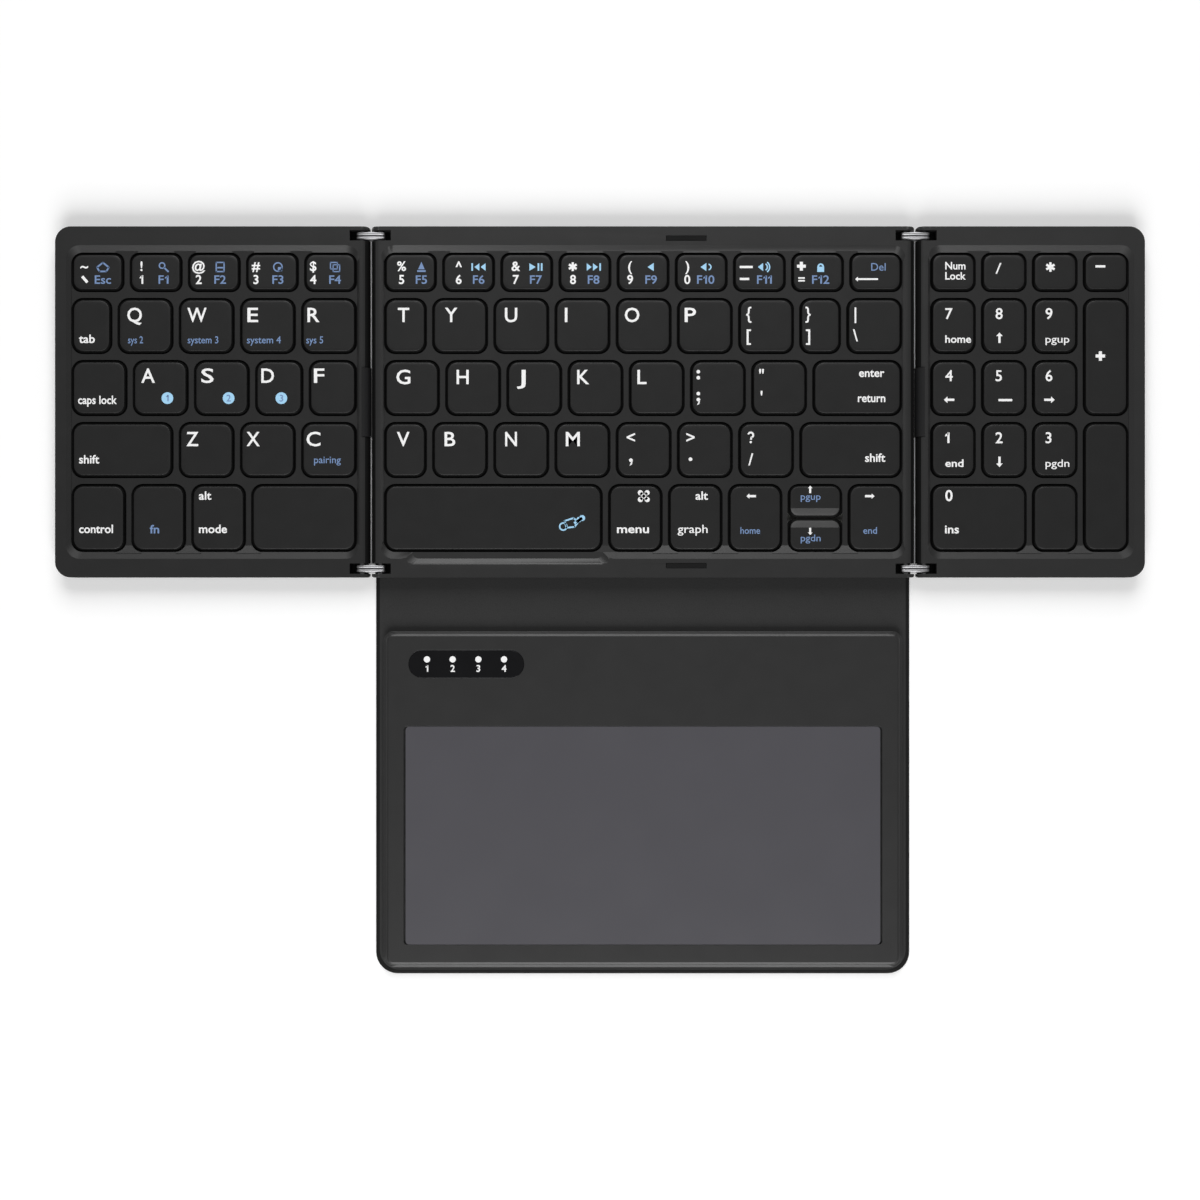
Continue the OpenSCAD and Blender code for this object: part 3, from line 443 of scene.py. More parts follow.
def add_cap(bm, box, strip):
    """One keycap with its flange. Strip is -1 or 1 where a strip slopes down at its front
    or rear; the cap has no flange there, because its neighbour shares the opening."""
    x0, x1, y0, y1, top = box
    r = NUMBER_KEY_R if y1 - y0 < NUMBER_ROW_DEPTH else KEY_R
    front = 0.0 if strip < 0 else FLANGE_REACH
    rear = 0.0 if strip > 0 else FLANGE_REACH
    rings = [
        rounded(x0 - FLANGE_REACH, x1 + FLANGE_REACH, y0 - front, y1 + rear, r, z)
        for z in (FLANGE_TOP - FLANGE_T, FLANGE_TOP)]
    for inset, drop in CAP_STEPS:
        ring_r = max(r - 0.55 * inset, 0.4)
        rings.append(rounded(x0 + inset, x1 - inset, y0 + inset, y1 - inset, ring_r,
                             top - drop))
    rows = loft(bm, rings)
    # The flange and the lower side of the cap are painted near-black, as painted shade in the gap
    side = set()
    for row in rows[:PAINTED_SHADE_RINGS + 2]:
        side.update(row)
    for face in bm.faces:
        if all(v in side for v in face.verts):
            face.material_index = 1
    if strip:
        slope_strip(bm, box, strip)


def slope_strip(bm, box, strip):
    """Bends the rear (1) or front (-1) strip of the only cap in the mesh downward"""
    _, _, y0, y1, top = box
    edge = y1 - STRIP_LEN if strip > 0 else y0 + STRIP_LEN
    cut_plane(bm, (0, edge, 0), (0, 1, 0))
    for vert in bm.verts:
        past = (vert.co.y - edge) * strip
        height = (vert.co.z - FLANGE_TOP) / (top - FLANGE_TOP)
        if past > 0 and height > 0:
            vert.co.z -= STRIP_DROP * height * past / STRIP_LEN


def make_caps(node):
    strip = {"up_arrow_key": -1, "down_arrow_key": 1}.get(node, 0)
    bm = bmesh.new()
    for box in KEYS[node]:
        add_cap(bm, box, strip)
    obj = object_from(bm, node + "_caps", STRIP_SHARP if strip else CAP_SHARP)
    flatten_shading(obj)
    paint(obj, "keycap", "cap_painted_shade")
    stand_for(obj, node)


for key_node in KEY_NODES:
    make_caps(key_node)


# ---- Legends ----

# Thickness of the printed film, and how far blue lies over the pale discs
FILM = 0.016
BLUE_LIFT = 0.004
PRINT_SHARP = 30.0
marks = {}


def font_mesh(body, bold):
    """Vertices and faces of a word set in Blender's own font, one unit high"""
    curve = bpy.data.curves.new("word", "FONT")
    curve.body = body
    curve.offset = min(bold, 0.005) if "g" in body else bold
    curve.resolution_u = 3
    holder = link_new("word", curve)
    bpy.context.view_layer.update()
    mesh = bpy.data.meshes.new_from_object(holder)
    points = [(v.co.x, v.co.y) for v in mesh.vertices]
    faces = [tuple(p.vertices) for p in mesh.polygons]
    bpy.data.objects.remove(holder)
    bpy.data.curves.remove(curve)
    bpy.data.meshes.remove(mesh)
    return points, faces


CAP_UNIT = max(y for x, y in font_mesh("H", 0.0)[0])
LETTER_GAP = 0.14


def one_glyph():
    """A figure one with a flag, as tall as a capital"""
    u = CAP_UNIT
    return shape(bar(0.3 * u, 0, 0.3 * u, u, 0.2 * u), [
        (0.3 * u, u), (0.0, 0.78 * u), (0.0, 0.6 * u), (0.3 * u, 0.76 * u)])


def with_ones(body, bold):
    """Sets a word letter by letter, with the drawn figure one"""
    points = []
    faces = []
    x = 0.0
    for letter in body:
        glyph = one_glyph() if letter == "1" else font_mesh(letter, bold)
        left = min(px for px, py in glyph[0])
        base = len(points)
        points += [(px - left + x, py) for px, py in glyph[0]]
        faces += [tuple(base + i for i in face) for face in glyph[1]]
        x = max(px for px, py in points) + LETTER_GAP * CAP_UNIT
    return points, faces


def word(body, height, width=None, bold=0.012):
    """A word with capitals this high; its origin is its left end at capital height"""
    split = "1" in body and " " not in body
    points, faces = with_ones(body, bold) if split else font_mesh(body, bold)
    scale = height / CAP_UNIT
    left = min(x for x, y in points)
    long = (max(x for x, y in points) - left) * scale
    stretch = width / long if width else 1.0
    return [((x - left) * scale * stretch, y * scale - height) for x, y in points], faces


def centred(flat):
    """The same drawing with its origin in the middle of its width"""
    points, faces = flat
    middle = (min(x for x, y in points) + max(x for x, y in points)) / 2
    return [(x - middle, y) for x, y in points], faces


def shape(*loops):
    """Drawing made of closed outlines, origin as given"""
    points = []
    faces = []
    for loop in loops:
        faces.append(tuple(range(len(points), len(points) + len(loop))))
        points.extend(loop)
    return points, faces


def bar(x0, y0, x1, y1, w):
    """Straight stroke of width w between two points"""
    long = math.hypot(x1 - x0, y1 - y0)
    nx = (y0 - y1) / long * w / 2
    ny = (x1 - x0) / long * w / 2
    return [(x0 + nx, y0 + ny), (x0 - nx, y0 - ny), (x1 - nx, y1 - ny), (x1 + nx, y1 + ny)]


def disc(cx, cy, r, steps=20):
    turn = 2 * math.pi / steps
    return [(cx + r * math.cos(i * turn), cy + r * math.sin(i * turn)) for i in range(steps)]


def arc(cx, cy, r, w, a0=0.0, a1=360.0, steps=20):
    """Loops of a ring, or of a part of one, from angle a0 to a1 in degrees"""
    loops = []
    for i in range(steps):
        b0 = math.radians(a0 + (a1 - a0) * i / steps)
        b1 = math.radians(a0 + (a1 - a0) * (i + 1) / steps)
        loops.append([
            (cx + (r + s) * math.cos(b), cy + (r + s) * math.sin(b))
            for b, s in ((b0, -w / 2), (b0, w / 2), (b1, w / 2), (b1, -w / 2))])
    return loops


def star(r, w, spokes=6):
    """Outline of a sign with this many straight spokes: 6 for an asterisk, 4 for a plus"""
    turn = 2 * math.pi / spokes
    valley = w / 2 / math.sin(turn / 2)
    points = []
    for i in range(spokes):
        a = i * turn
        for side in (-w / 2, w / 2):
            points.append((r * math.sin(a) + side * math.cos(a),
                           r * math.cos(a) - side * math.sin(a)))
        points.append((valley * math.sin(a + turn / 2), valley * math.cos(a + turn / 2)))
    return points


def outline(points, w):
    """Loops of a closed stroke of width w through these points, with filled corners"""
    loops = []
    for a, b in zip(points, points[1:] + points[:1]):
        loops.append(bar(a[0], a[1], b[0], b[1], w))
        loops.append(disc(a[0], a[1], w / 2, 8))
    return loops


def put(node, index, colour, flat, x, y):
    """Prints a drawing on a key: x from its left edge, y in front of its rear edge"""
    box = KEYS[node][index]
    points, faces = flat
    moved = [(box[0] + x + px, box[3] - y + py, box[4]) for px, py in points]
    marks.setdefault((node, colour), []).append((moved, faces))


def arrow(dx, dy, long, w=0.6, head=1.0):
    """Arrow centred on its origin, pointing along (dx, dy)"""
    half = long / 2
    tip = (dx * half, dy * half)
    neck = (dx * (half - head * 1.1), dy * (half - head * 1.1))
    barb = [(neck[0] - dy * head, neck[1] + dx * head), (neck[0] + dy * head, neck[1] - dx * head)]
    return shape([tip, barb[0], barb[1]], bar(-dx * half, -dy * half, neck[0], neck[1], w))


def wedge(x, half=1.15, long=1.5, way=1):
    """Solid triangle that points right (way 1) or left (way -1), its back at x"""
    return [(x, half), (x, -half), (x + way * long, 0)]


HOUSE = shape(*outline([(0, 1.35), (1.8, -0.1), (1.05, -1.35), (-1.05, -1.35), (-1.8, -0.1)],
                       0.5))
LENS = shape(*arc(-0.45, 0.45, 0.85, 0.4), bar(0.15, -0.15, 1.55, -1.5, 0.5))
PAGE = shape(*outline([(-1.2, 1.4), (1.2, 1.4), (1.2, -1.4), (-1.2, -1.4)], 0.4),
             bar(-0.9, -0.2, 0.9, -0.2, 0.45))
CLOCK = shape(*arc(0, 0, 1.3, 0.4), [(0, 0), (0, -1.3), (1.3, -1.3), (1.3, 0)])
SHEETS = shape(*outline([(-1.4, 1.4), (0.7, 1.4), (0.7, -0.6), (-1.4, -0.6)], 0.35),
               *outline([(-0.6, 0.7), (1.4, 0.7), (1.4, -1.4), (-0.6, -1.4)], 0.35))
BELL = shape([(0, 1.6), (1.0, -0.7), (-1.0, -0.7)], bar(-1.3, -1.25, 1.3, -1.25, 0.55))
BACK = shape(bar(-2.0, 1.15, -2.0, -1.15, 0.5), wedge(0.2, way=-1), wedge(2.1, way=-1))
PLAY = shape(wedge(-2.0, long=1.9), bar(0.75, 1.15, 0.75, -1.15, 0.5),
             bar(1.75, 1.15, 1.75, -1.15, 0.5))
NEXT = shape(bar(2.0, 1.15, 2.0, -1.15, 0.5), wedge(-0.2), wedge(-2.1))
SPEAKER = shape(wedge(0.8, 1.25, 1.9, -1))
SPEAKER_RING = shape(wedge(0.2, 1.25, 1.8, -1), *arc(0.75, 0, 0.85, 0.4, -80, 80, 10))
SPEAKER_WAVES = shape(wedge(-0.4, 1.25, 1.6, -1), *arc(-0.2, 0, 1.1, 0.4, -60, 60, 8),
                      *arc(-0.2, 0, 1.8, 0.4, -55, 55, 10))
PADLOCK = shape([(-1.05, -1.5), (1.05, -1.5), (1.05, 0.1), (-1.05, 0.1)],
                *arc(0, 0.1, 0.75, 0.5, 0, 180, 10))
POINTER = shape(*outline([(-2.2, 0.6), (0.6, 1.5), (1.9, 0.2), (0.9, -1.2), (-1.6, -1.5)], 0.5),
                *arc(-2.6, -1.1, 1.1, 0.45), disc(3.2, 1.5, 0.9), disc(2.2, 1.0, 0.8),
                bar(0.8, -0.2, 3.2, 1.5, 0.9))
PETALS = shape(*[disc(x, y, 0.78) for x in (-1.05, 1.05) for y in (-1.05, 1.05)],
               bar(-1.0, -1.0, 1.0, 1.0, 0.9), bar(-1.0, 1.0, 1.0, -1.0, 0.9))

LABEL_STRETCH = 1.1


def number_key(node, index, step, upper, lower, icon, word_text, icon_colour):
    """Number row key: white pair on the left, and a blue function on the right. Step is
    how far along the panel the key lies, from 0 to 1, as its print shifts with it."""
    left = (3.7, 2.5) if node == "left_number_keys" else (5.1, 2.8)
    right = (11.9, 11.0) if node == "left_number_keys" else (12.9, 11.3)
    x = left[0] + (left[1] - left[0]) * step
    end = right[0] + (right[1] - right[0]) * step
    if upper:
        put(node, index, "white", centred(word(upper, 2.8, None, 0.02)), x, 2.45)
    if lower:
        put(node, index, "white", centred(word(lower, 2.65, None, 0.02)), x, 6.6)
    long = max(px for px, py in word(word_text, 2.5)[0]) * LABEL_STRETCH
    put(node, index, "blue", word(word_text, 2.5, long), end - long, 6.7)
    put(node, index, icon_colour, icon, end - long / 2, 4.1)


LEFT_NUMBERS = [("~", "", HOUSE, "Esc"), ("!", "1", LENS, "F1"), ("@", "2", PAGE, "F2"),
                ("#", "3", CLOCK, "F3"), ("$", "4", SHEETS, "F4")]
CENTRE_NUMBERS = [
    ("%", "5", BELL, "F5"), ("^", "6", BACK, "F6"), ("&", "7", PLAY, "F7"),
    ("", "8", NEXT, "F8"), ("(", "9", SPEAKER, "F9"), (")", "0", SPEAKER_RING, "F10"),
    ("", "", SPEAKER_WAVES, "F11"), ("", "=", PADLOCK, "F12")]
for i, entry in enumerate(LEFT_NUMBERS):
    number_key("left_number_keys", i, i / 4, *entry, "blue")
for i, entry in enumerate(CENTRE_NUMBERS):
    number_key("centre_number_keys", i, i / 7, *entry, "pale" if i else "blue")
put("left_number_keys", 0, "white", shape(bar(-0.85, 0.95, 0.75, -0.9, 0.85)), 3.9, 7.9)
put("centre_number_keys", 3, "white", shape(star(1.35, 0.7)), 4.05, 4.0)
put("centre_number_keys", 6, "white", shape(bar(-2.0, 0, 2.0, 0, 0.7)), 3.7, 4.1)
put("centre_number_keys", 6, "white", shape(bar(-2.0, 0, 0.9, 0, 0.7)), 3.7, 7.75)
put("centre_number_keys", 7, "white", shape(star(1.35, 0.95, 4)), 2.75, 3.85)
put("centre_number_keys", 8, "blue", word("Del", 2.3, bold=0.004), 6.3, 2.9)
put("centre_number_keys", 8, "white", arrow(-1, 0, 7.0, 0.55, 0.75), 4.9, 7.8)

# Letter widths of the legends, and how far each row's letters stand from the left edge of
# their keys at the left end of the panel, with the change along the panel
LETTER_H = 4.25
LETTER_W = {"Q": 4.5, "W": 5.9, "E": 3.3, "R": 3.7, "T": 3.5, "Y": 3.8, "U": 3.8, "I": 0.8,
            "O": 4.5, "P": 3.5, "A": 4.2, "S": 3.8, "D": 3.9, "F": 3.2, "G": 4.3, "H": 3.7,
            "J": 2.7, "K": 3.7, "L": 2.8, "Z": 3.7, "X": 4.1, "C": 4.3, "V": 3.9, "B": 3.3,
            "N": 3.6, "M": 4.3}


def letter_key(node, index, letter, shift, drop=2.8):
    put(node, index, "white", word(letter, LETTER_H, LETTER_W[letter], 0.012), shift, drop)


DOT_R = 0.56
QUESTION = shape(*arc(0, -0.98, 0.78, DOT_R, -70, 165, 12), bar(0.25, -1.6, 0.0, -2.4, DOT_R),
                 disc(0, -3.15, 0.36))


def dot_at(drop):
    return disc(0, -drop, DOT_R)


def tail_at(drop):
    """Tail of a comma whose dot lies this far below capital height"""
    return [(x, y - drop) for x, y in ((0.1, -0.6), (0.62, 0.0), (0.3, -1.3), (-0.45, -1.75))]


# Small punctuation drawn with heavy dots and tails, centred, from capital height
HEAVY = {"?": QUESTION, ".": shape(dot_at(1.7)), ",": shape(dot_at(2.0), tail_at(2.0)),
         ":": shape(dot_at(2.45), dot_at(0.6)),
         ";": shape(dot_at(2.45), dot_at(0.6), tail_at(2.45))}


for i, letter in enumerate("QWERASDFZXC"):
    letter_key("left_letter_keys", i, letter, (-0.1 if letter in "QWER" else -0.4)
               - 0.0195 * KEYS["left_letter_keys"][i][0],
               2.8 if letter in "QWERZXC" else 2.4)
for row, (letters, shift, drift) in enumerate((
        ("TYUIOP", 3.95, 0.0215), ("GHJKL", 3.5, 0.016), ("VBNM", 3.65, 0.01))):
    for i, letter in enumerate(letters, (0, 6, 11)[row]):
        along = KEYS["centre_letter_keys"][i][0] - KEYS["centre_letter_keys"][0][0]
        letter_key("centre_letter_keys", i, letter, shift - drift * along)


def word_key(node, index, text, x, y, width=None, colour="white", h=2.45, bold=0.018):
    put(node, index, colour, word(text, h, width, bold), x, y)


for i, (text, x, width) in enumerate((
        ("sys 2", 3.0, 4.6), ("system 3", 2.5, 9.4), ("system 4", 1.9, 10.4),
        ("sys 5", 1.3, 5.2))):
    word_key("left_letter_keys", i, text, x, 11.5, width, "blue", 2.1, 0.008)
word_key("left_letter_keys", 10, "pairing", 3.7, 10.2, 8.2, "blue", 2.1, 0.008)
for i, x in ((4, 10.4), (5, 10.4), (6, 7.8)):
    put("left_letter_keys", i, "pale", shape(disc(0, 0, 1.8, 28)), x, 11.4)
    put("left_letter_keys", i, "blue", centred(word(str(i - 3), 2.0)), x, 10.4)


def symbol_pair(index, upper, lower, x, h=3.5, bold=0.012):
    """A symbol key's two marks, the shifted one behind the other"""
    for mark, drop in ((upper, 2.7), (lower, 9.4)):
        flat = HEAVY.get(mark) or centred(word(mark, h, None, bold))
        put("centre_symbol_keys", index, "white", flat, x, drop)


SYMBOLS = [("{", "[", 2.9), ("}", "]", 2.3), ("|", "\\", 2.4), (":", ";", 2.2),
           ("\"", "'", 2.8), ("<", ",", 4.3), (">", ".", 3.8), ("?", "/", 3.5)]
for i, (upper, lower, x) in enumerate(SYMBOLS):
    symbol_pair(i, upper, lower, x)

# Node, key, word, its place from the key's left and rear edges, and its width
WHITE_WORDS = [
    ("tab_key", 0, "tab", 2.05, 11.0, 4.9), ("caps_lock_key", 0, "caps lock", 1.8, 10.7, 11.9),
    ("left_shift_key", 0, "shift", 2.1, 9.9, 6.2),
    ("left_modifier_keys", 0, "control", 2.1, 12.2, 10.4),
    ("left_modifier_keys", 2, "alt", 2.1, 2.0, 3.8),
    ("left_modifier_keys", 2, "mode", 2.1, 12.2, 8.6),
    ("enter_key", 0, "enter", 13.9, 2.4, 7.8), ("enter_key", 0, "return", 13.55, 10.1, 8.4),
    ("right_shift_key", 0, "shift", 19.75, 9.4, 6.2),
    ("right_modifier_keys", 0, "menu", 2.4, 12.2, 9.8),
    ("right_modifier_keys", 1, "alt", 8.1, 2.0, 3.8),
    ("right_modifier_keys", 1, "graph", 2.6, 12.2, 9.2),
    ("pad_zero_key", 0, "ins", 4.1, 12.3, 4.3)]
SMALL_WORDS = [
    ("left_arrow_key", 0, "home", 3.5, 12.9, 6.0), ("right_arrow_key", 0, "end", 4.4, 12.9, 4.2),
    ("up_arrow_key", 0, "pgup", 3.6, 2.5, 6.1), ("down_arrow_key", 0, "pgdn", 3.6, 4.9, 6.1)]
for entry in WHITE_WORDS:
    word_key(*entry)
for entry in SMALL_WORDS:
    word_key(*entry, "blue", 2.0, 0.008)
word_key("left_modifier_keys", 1, "fn", 5.4, 12.3, 2.9, "blue")
word_key("pad_top_keys", 0, "Num", 4.2, 2.6, 6.2, h=2.2)
word_key("pad_top_keys", 0, "Lock", 4.2, 5.7, 6.3, h=2.2)
word_key("pad_zero_key", 0, "0", 4.2, 1.6, None, h=3.25)

# Node, key, colour, drawing, and its place from the key's left and rear edges
SIGNS = [
    ("right_modifier_keys", 0, "white", PETALS, 10.6, 3.4),
    ("space_bar", 0, "pale", POINTER, 57.2, 11.6),
    ("left_arrow_key", 0, "white", arrow(-1, 0, 2.9, 0.7, 0.8), 6.8, 3.4),
    ("right_arrow_key", 0, "white", arrow(1, 0, 2.9, 0.7, 0.8), 6.4, 3.4),
    ("up_arrow_key", 0, "white", arrow(0, 1, 2.3, 0.6, 0.7), 6.5, 1.35),
    ("down_arrow_key", 0, "white", arrow(0, -1, 2.2, 0.6, 0.7), 6.5, 3.9),
    ("pad_top_keys", 1, "white", word("/", 3.2, 1.8, 0.0), 4.0, 2.9),
    ("pad_top_keys", 2, "white", shape(star(1.45, 0.72)), 5.2, 4.1),
    ("pad_top_keys", 3, "white", shape(bar(-1.5, 0, 1.5, 0, 0.7)), 4.9, 3.9),
    ("pad_digit_keys", 4, "white", shape(bar(-2.1, 0, 2.1, 0, 0.7)), 7.0, 12.0),
    ("pad_plus_key", 0, "white", shape(star(1.45, 0.95, 4)), 4.9, 17.5)]
for entry in SIGNS:
    put(*entry)
PAD_X = [4.2, 4.0, 3.7]
for i, digit in enumerate("789456123"):
    put("pad_digit_keys", i, "white", word(digit, 3.25), PAD_X[i % 3], 2.9)
for i, text, width in ((0, "home", 7.9), (2, "pgup", 7.3), (6, "end", 5.6), (8, "pgdn", 7.3)):
    word_key("pad_digit_keys", i, text, PAD_X[i % 3], 11.2, width, "white", 2.2)
for i, way in ((1, (0, 1)), (3, (-1, 0)), (5, (1, 0)), (7, (0, -1))):
    put("pad_digit_keys", i, "white", arrow(*way, 3.2, 0.7, 1.0), PAD_X[i % 3] + 1.2, 11.9)


def print_marks(node, colour, drawings):
    """Turns the drawings of one colour on one key node into a thin closed film"""
    bm = bmesh.new()
    lift = BLUE_LIFT if colour == "blue" else 0.0
    for points, faces in drawings:
        verts = [bm.verts.new((x, y, z - FILM / 2 + lift)) for x, y, z in points]
        for face in faces:
            bm.faces.new([verts[i] for i in face])
    thicken(bm, FILM)
    obj = object_from(bm, node + "_print_" + colour, PRINT_SHARP)
    paint(obj, colour)
    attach(obj, BODY_OF[node])


for (key_node, ink_name), drawings in sorted(marks.items()):
    print_marks(key_node, ink_name, drawings)


# ---- Moulded shells ----

TOUCH_LO, TOUCH_HI = node_box("touchpad_surface")
TOUCH_GROOVE = 0.45
TOUCH_NEAR = 0.5
TOUCH_BESIDE = 0.3
CASE_LO, CASE_HI = node_box("touchpad_case")
CASE_R = 3.0
CASE_BEVEL = 1.2
CASE_FALL = 0.5
CASE_ROUND = 0.5


def widen_touch_opening(bm):
    """Opens a narrow groove between the case and the two ends of the touch surface"""
    for vert in bm.verts:
        beside = min(abs(vert.co.x - TOUCH_LO[0]), abs(vert.co.x - TOUCH_HI[0])) < TOUCH_NEAR
        level = TOUCH_LO[1] - TOUCH_BESIDE < vert.co.y < TOUCH_HI[1] + TOUCH_BESIDE
        if beside and level:
            vert.co.x += TOUCH_GROOVE if vert.co.x > 0 else -TOUCH_GROOVE


def round_case_edge(bm):
    """Flattens the outer chamfer of the case to a gentle fall and rounds its upper edge"""
    def reach(co):
        dx = co.x - min(max(co.x, CASE_LO[0] + CASE_R), CASE_HI[0] - CASE_R)
        dy = co.y - min(max(co.y, CASE_LO[1] + CASE_R), CASE_HI[1] - CASE_R)
        return math.hypot(dx, dy)

    for vert in bm.verts:
        if abs(vert.co.z - CASE_HI[2] + CASE_BEVEL) < 0.01 and reach(vert.co) > CASE_R - 0.1:
            vert.co.z = CASE_HI[2] - CASE_FALL
    rim = [e for e in bm.edges if all(
        abs(reach(v.co) - CASE_R + CASE_BEVEL) < 0.05 and v.co.z > CASE_HI[2] - 0.01
        for v in e.verts) and len(e.link_faces) == 2]
    bmesh.ops.bevel(bm, geom=rim, offset=CASE_ROUND, offset_type="OFFSET", segments=4,
                    profile=0.5, affect="EDGES")


# Ends of the bezels that lie in a fold: -1 at the left end and 1 at the right end
FOLD_ENDS = {"left_bezel": (1,), "centre_bezel": (-1, 1), "right_bezel": (-1,)}
# Width of the painted fold shade, and how far it stops short of the bezel's front and rear ends
FOLD_SHADE_W = 1.4
FOLD_SHADE_INSET = 4.35


def shade_folds(bm, node):
    """Paints the edges of a bezel that meet in a fold near-black between the links, as painted
    shade
    """
    lo, hi = node_box(node)
    low, high = lo[1] + FOLD_SHADE_INSET, hi[1] - FOLD_SHADE_INSET
    for side in FOLD_ENDS[node]:
        start = (hi[0] if side > 0 else lo[0]) - side * FOLD_SHADE_W
        cut_plane(bm, (start, 0, 0), (1, 0, 0))
        cut_plane(bm, (0, low, 0), (0, 1, 0))
        cut_plane(bm, (0, high, 0), (0, 1, 0))
        for face in bm.faces:
            middle = face.calc_center_median()
            if (middle.x - start) * side > 0 and low < middle.y < high:
                face.material_index = 1


# Left and right end of the thumb scoop in the centre panel's front rim
SCOOP_X = (-58.5, 2.0)
# Normals of a slope that rises to the front: how far they point up and to the rear
SLOPE_UP = (0.8, 0.99)
SLOPE_BACK = 0.12


def mark_front_slope(bm, node):
    """Gives the slope at the front end of a key field, but not the polished thumb scoop,
    its finer, duller grain"""
    lo, hi = node_box(node)
    bm.normal_update()
    for face in bm.faces:
        middle = face.calc_center_median()
        tilted = SLOPE_UP[0] < face.normal.z < SLOPE_UP[1] and face.normal.y > SLOPE_BACK
        scooped = node == "centre_bezel" and SCOOP_X[0] < middle.x < SCOOP_X[1]
        if tilted and not scooped and middle.y < (lo[1] + hi[1]) / 2:
            face.material_index = 2


SOCKET_LO, SOCKET_HI = node_box("usb_socket")
SOCKET_MARGIN = 0.6


def near_socket(vert):
    """Tells whether a vertex belongs to the opening of the charging socket"""
    return all(low - SOCKET_MARGIN < c < high + SOCKET_MARGIN
               for low, c, high in zip(SOCKET_LO, vert.co, SOCKET_HI))


BEVEL_OVER = math.radians(15.0)


def softened(node, width):
    """Copy of a CAD node with its edges rounded to this width"""
    bm = welded(node)
    bmesh.ops.dissolve_limit(bm, angle_limit=math.radians(1.0), verts=bm.verts,
                             edges=bm.edges, delimit=set())
    if node == "touchpad_case":
        round_case_edge(bm)
        widen_touch_opening(bm)
    edges = [e for e in bm.edges
             if len(e.link_faces) == 2 and e.calc_face_angle(0.0) > BEVEL_OVER
             and not all(near_socket(v) for v in e.verts)]
    bmesh.ops.bevel(bm, geom=edges, offset=width, offset_type="OFFSET", segments=2,
                    profile=0.5, affect="EDGES", clamp_overlap=True)
    if node in FOLD_ENDS:
        mark_front_slope(bm, node)
        shade_folds(bm, node)
    obj = object_from(bm, node + "_moulding", 60.0)
    flatten_shading(obj)
    return obj


SOFT_SHELLS = [
    ("left_bezel", 0.15, "shell"), ("centre_bezel", 0.15, "shell"),
    ("right_bezel", 0.15, "shell"), ("touchpad_case", 0.15, "case_plastic"),
    ("touchpad_surface", 0.05, "touch_film"), ("status_window", 0.08, "window"),
    ("bumper_pads", 0.12, "rubber_trim")]
for shell_node, width, slot in SOFT_SHELLS:
    moulding = softened(shell_node, width)
    # Fold ends take the painted fold shade; front slopes take their duller finish
    extra_finishes = ("lining", "front_slope") if shell_node in FOLD_ENDS else ()
    paint(moulding, FINISH[shell_node], *extra_finishes)
    stand_for(moulding, shell_node)

for plain_node, finish in FINISH.items():
    paint(NODES[plain_node], finish)


# ---- Hinge links ----

LINK_W = 2.35
LINK_SEAT_W = 2.6
LINK_HALF = 4.35
LINK_SAG = 0.35
RIDGE_ROUND = 0.42
LINK_GROOVE_HALF = 0.17
LINK_GROOVE_DEPTH = 0.75
# Distance from a link's end and fall below its back, where the end is rounded over
LINK_END = [(0.0, 0.45), (0.12, 0.16), (0.32, 0.03)]


def quarter_turn(cx, cy, r, a0):
    """Points of a quarter circle, clockwise from this angle in degrees"""
    turns = [math.radians(a0 - 22.5 * i) for i in range(5)]
    return [(cx + r * math.cos(a), cy + r * math.sin(a)) for a in turns]


def link_section(x, y, low, top):
    """Section of a link across its length: two rounded ridges with a groove between"""
    half = LINK_W / 2
    r = RIDGE_ROUND
    side = [(-half, low)] + quarter_turn(r - half, top - r, r, 180)
    side += quarter_turn(-LINK_GROOVE_HALF - r, top - r, r, 90)
    side.append((-LINK_GROOVE_HALF, top - LINK_GROOVE_DEPTH))
    points = side + [(-py, pz) for py, pz in reversed(side)]
    return [(x, y + py, pz) for py, pz in points]


def make_links(node):
    """The grooved, slightly arched links of one fold, with square ends"""
    lo, hi = node_box(node)
    middle = (lo[0] + hi[0]) / 2
    bm = bmesh.new()
    left_end = [(inset - LINK_HALF, fall) for inset, fall in LINK_END]
    rings = left_end + [(LINK_HALF * i / 4, 0.0) for i in range(-3, 4)]
    rings += [(-x, fall) for x, fall in reversed(left_end)]
    for y in (lo[1] + LINK_SEAT_W / 2, hi[1] - LINK_SEAT_W / 2):
        loft(bm, [
            link_section(middle + x, y, lo[2], hi[2] - LINK_SAG * (x / LINK_HALF) ** 2 - fall)
            for x, fall in rings])
    obj = object_from(bm, node + "_grooved", 40.0)
    paint(obj, "link")
    stand_for(obj, node)


make_links("left_hinge_links")
make_links("right_hinge_links")


# ---- Ramps between the keys ----

RAMP_LEN = 1.6
RAMP_GAP = 0.42
RAMP_REACH = 0.8
RAMP_TOP = {1: 5.56, -1: 5.7}
RAMP_STEPS = 8
LIP_REACH = 0.4
LIP_TOP = 5.33
GRID_TOP = 5.1
END_ROWS = [
    ("left", 1, ["left_number_keys"]), ("centre", 1, ["centre_number_keys"]),
    ("right", 1, ["pad_top_keys"]),
    ("left", -1, ["left_modifier_keys", "left_space_key"]),
    ("centre", -1, ["space_bar", "right_modifier_keys", "left_arrow_key", "down_arrow_key",
                    "right_arrow_key"]),
    ("right", -1, ["pad_zero_key", "pad_point_key", "pad_enter_key"])]


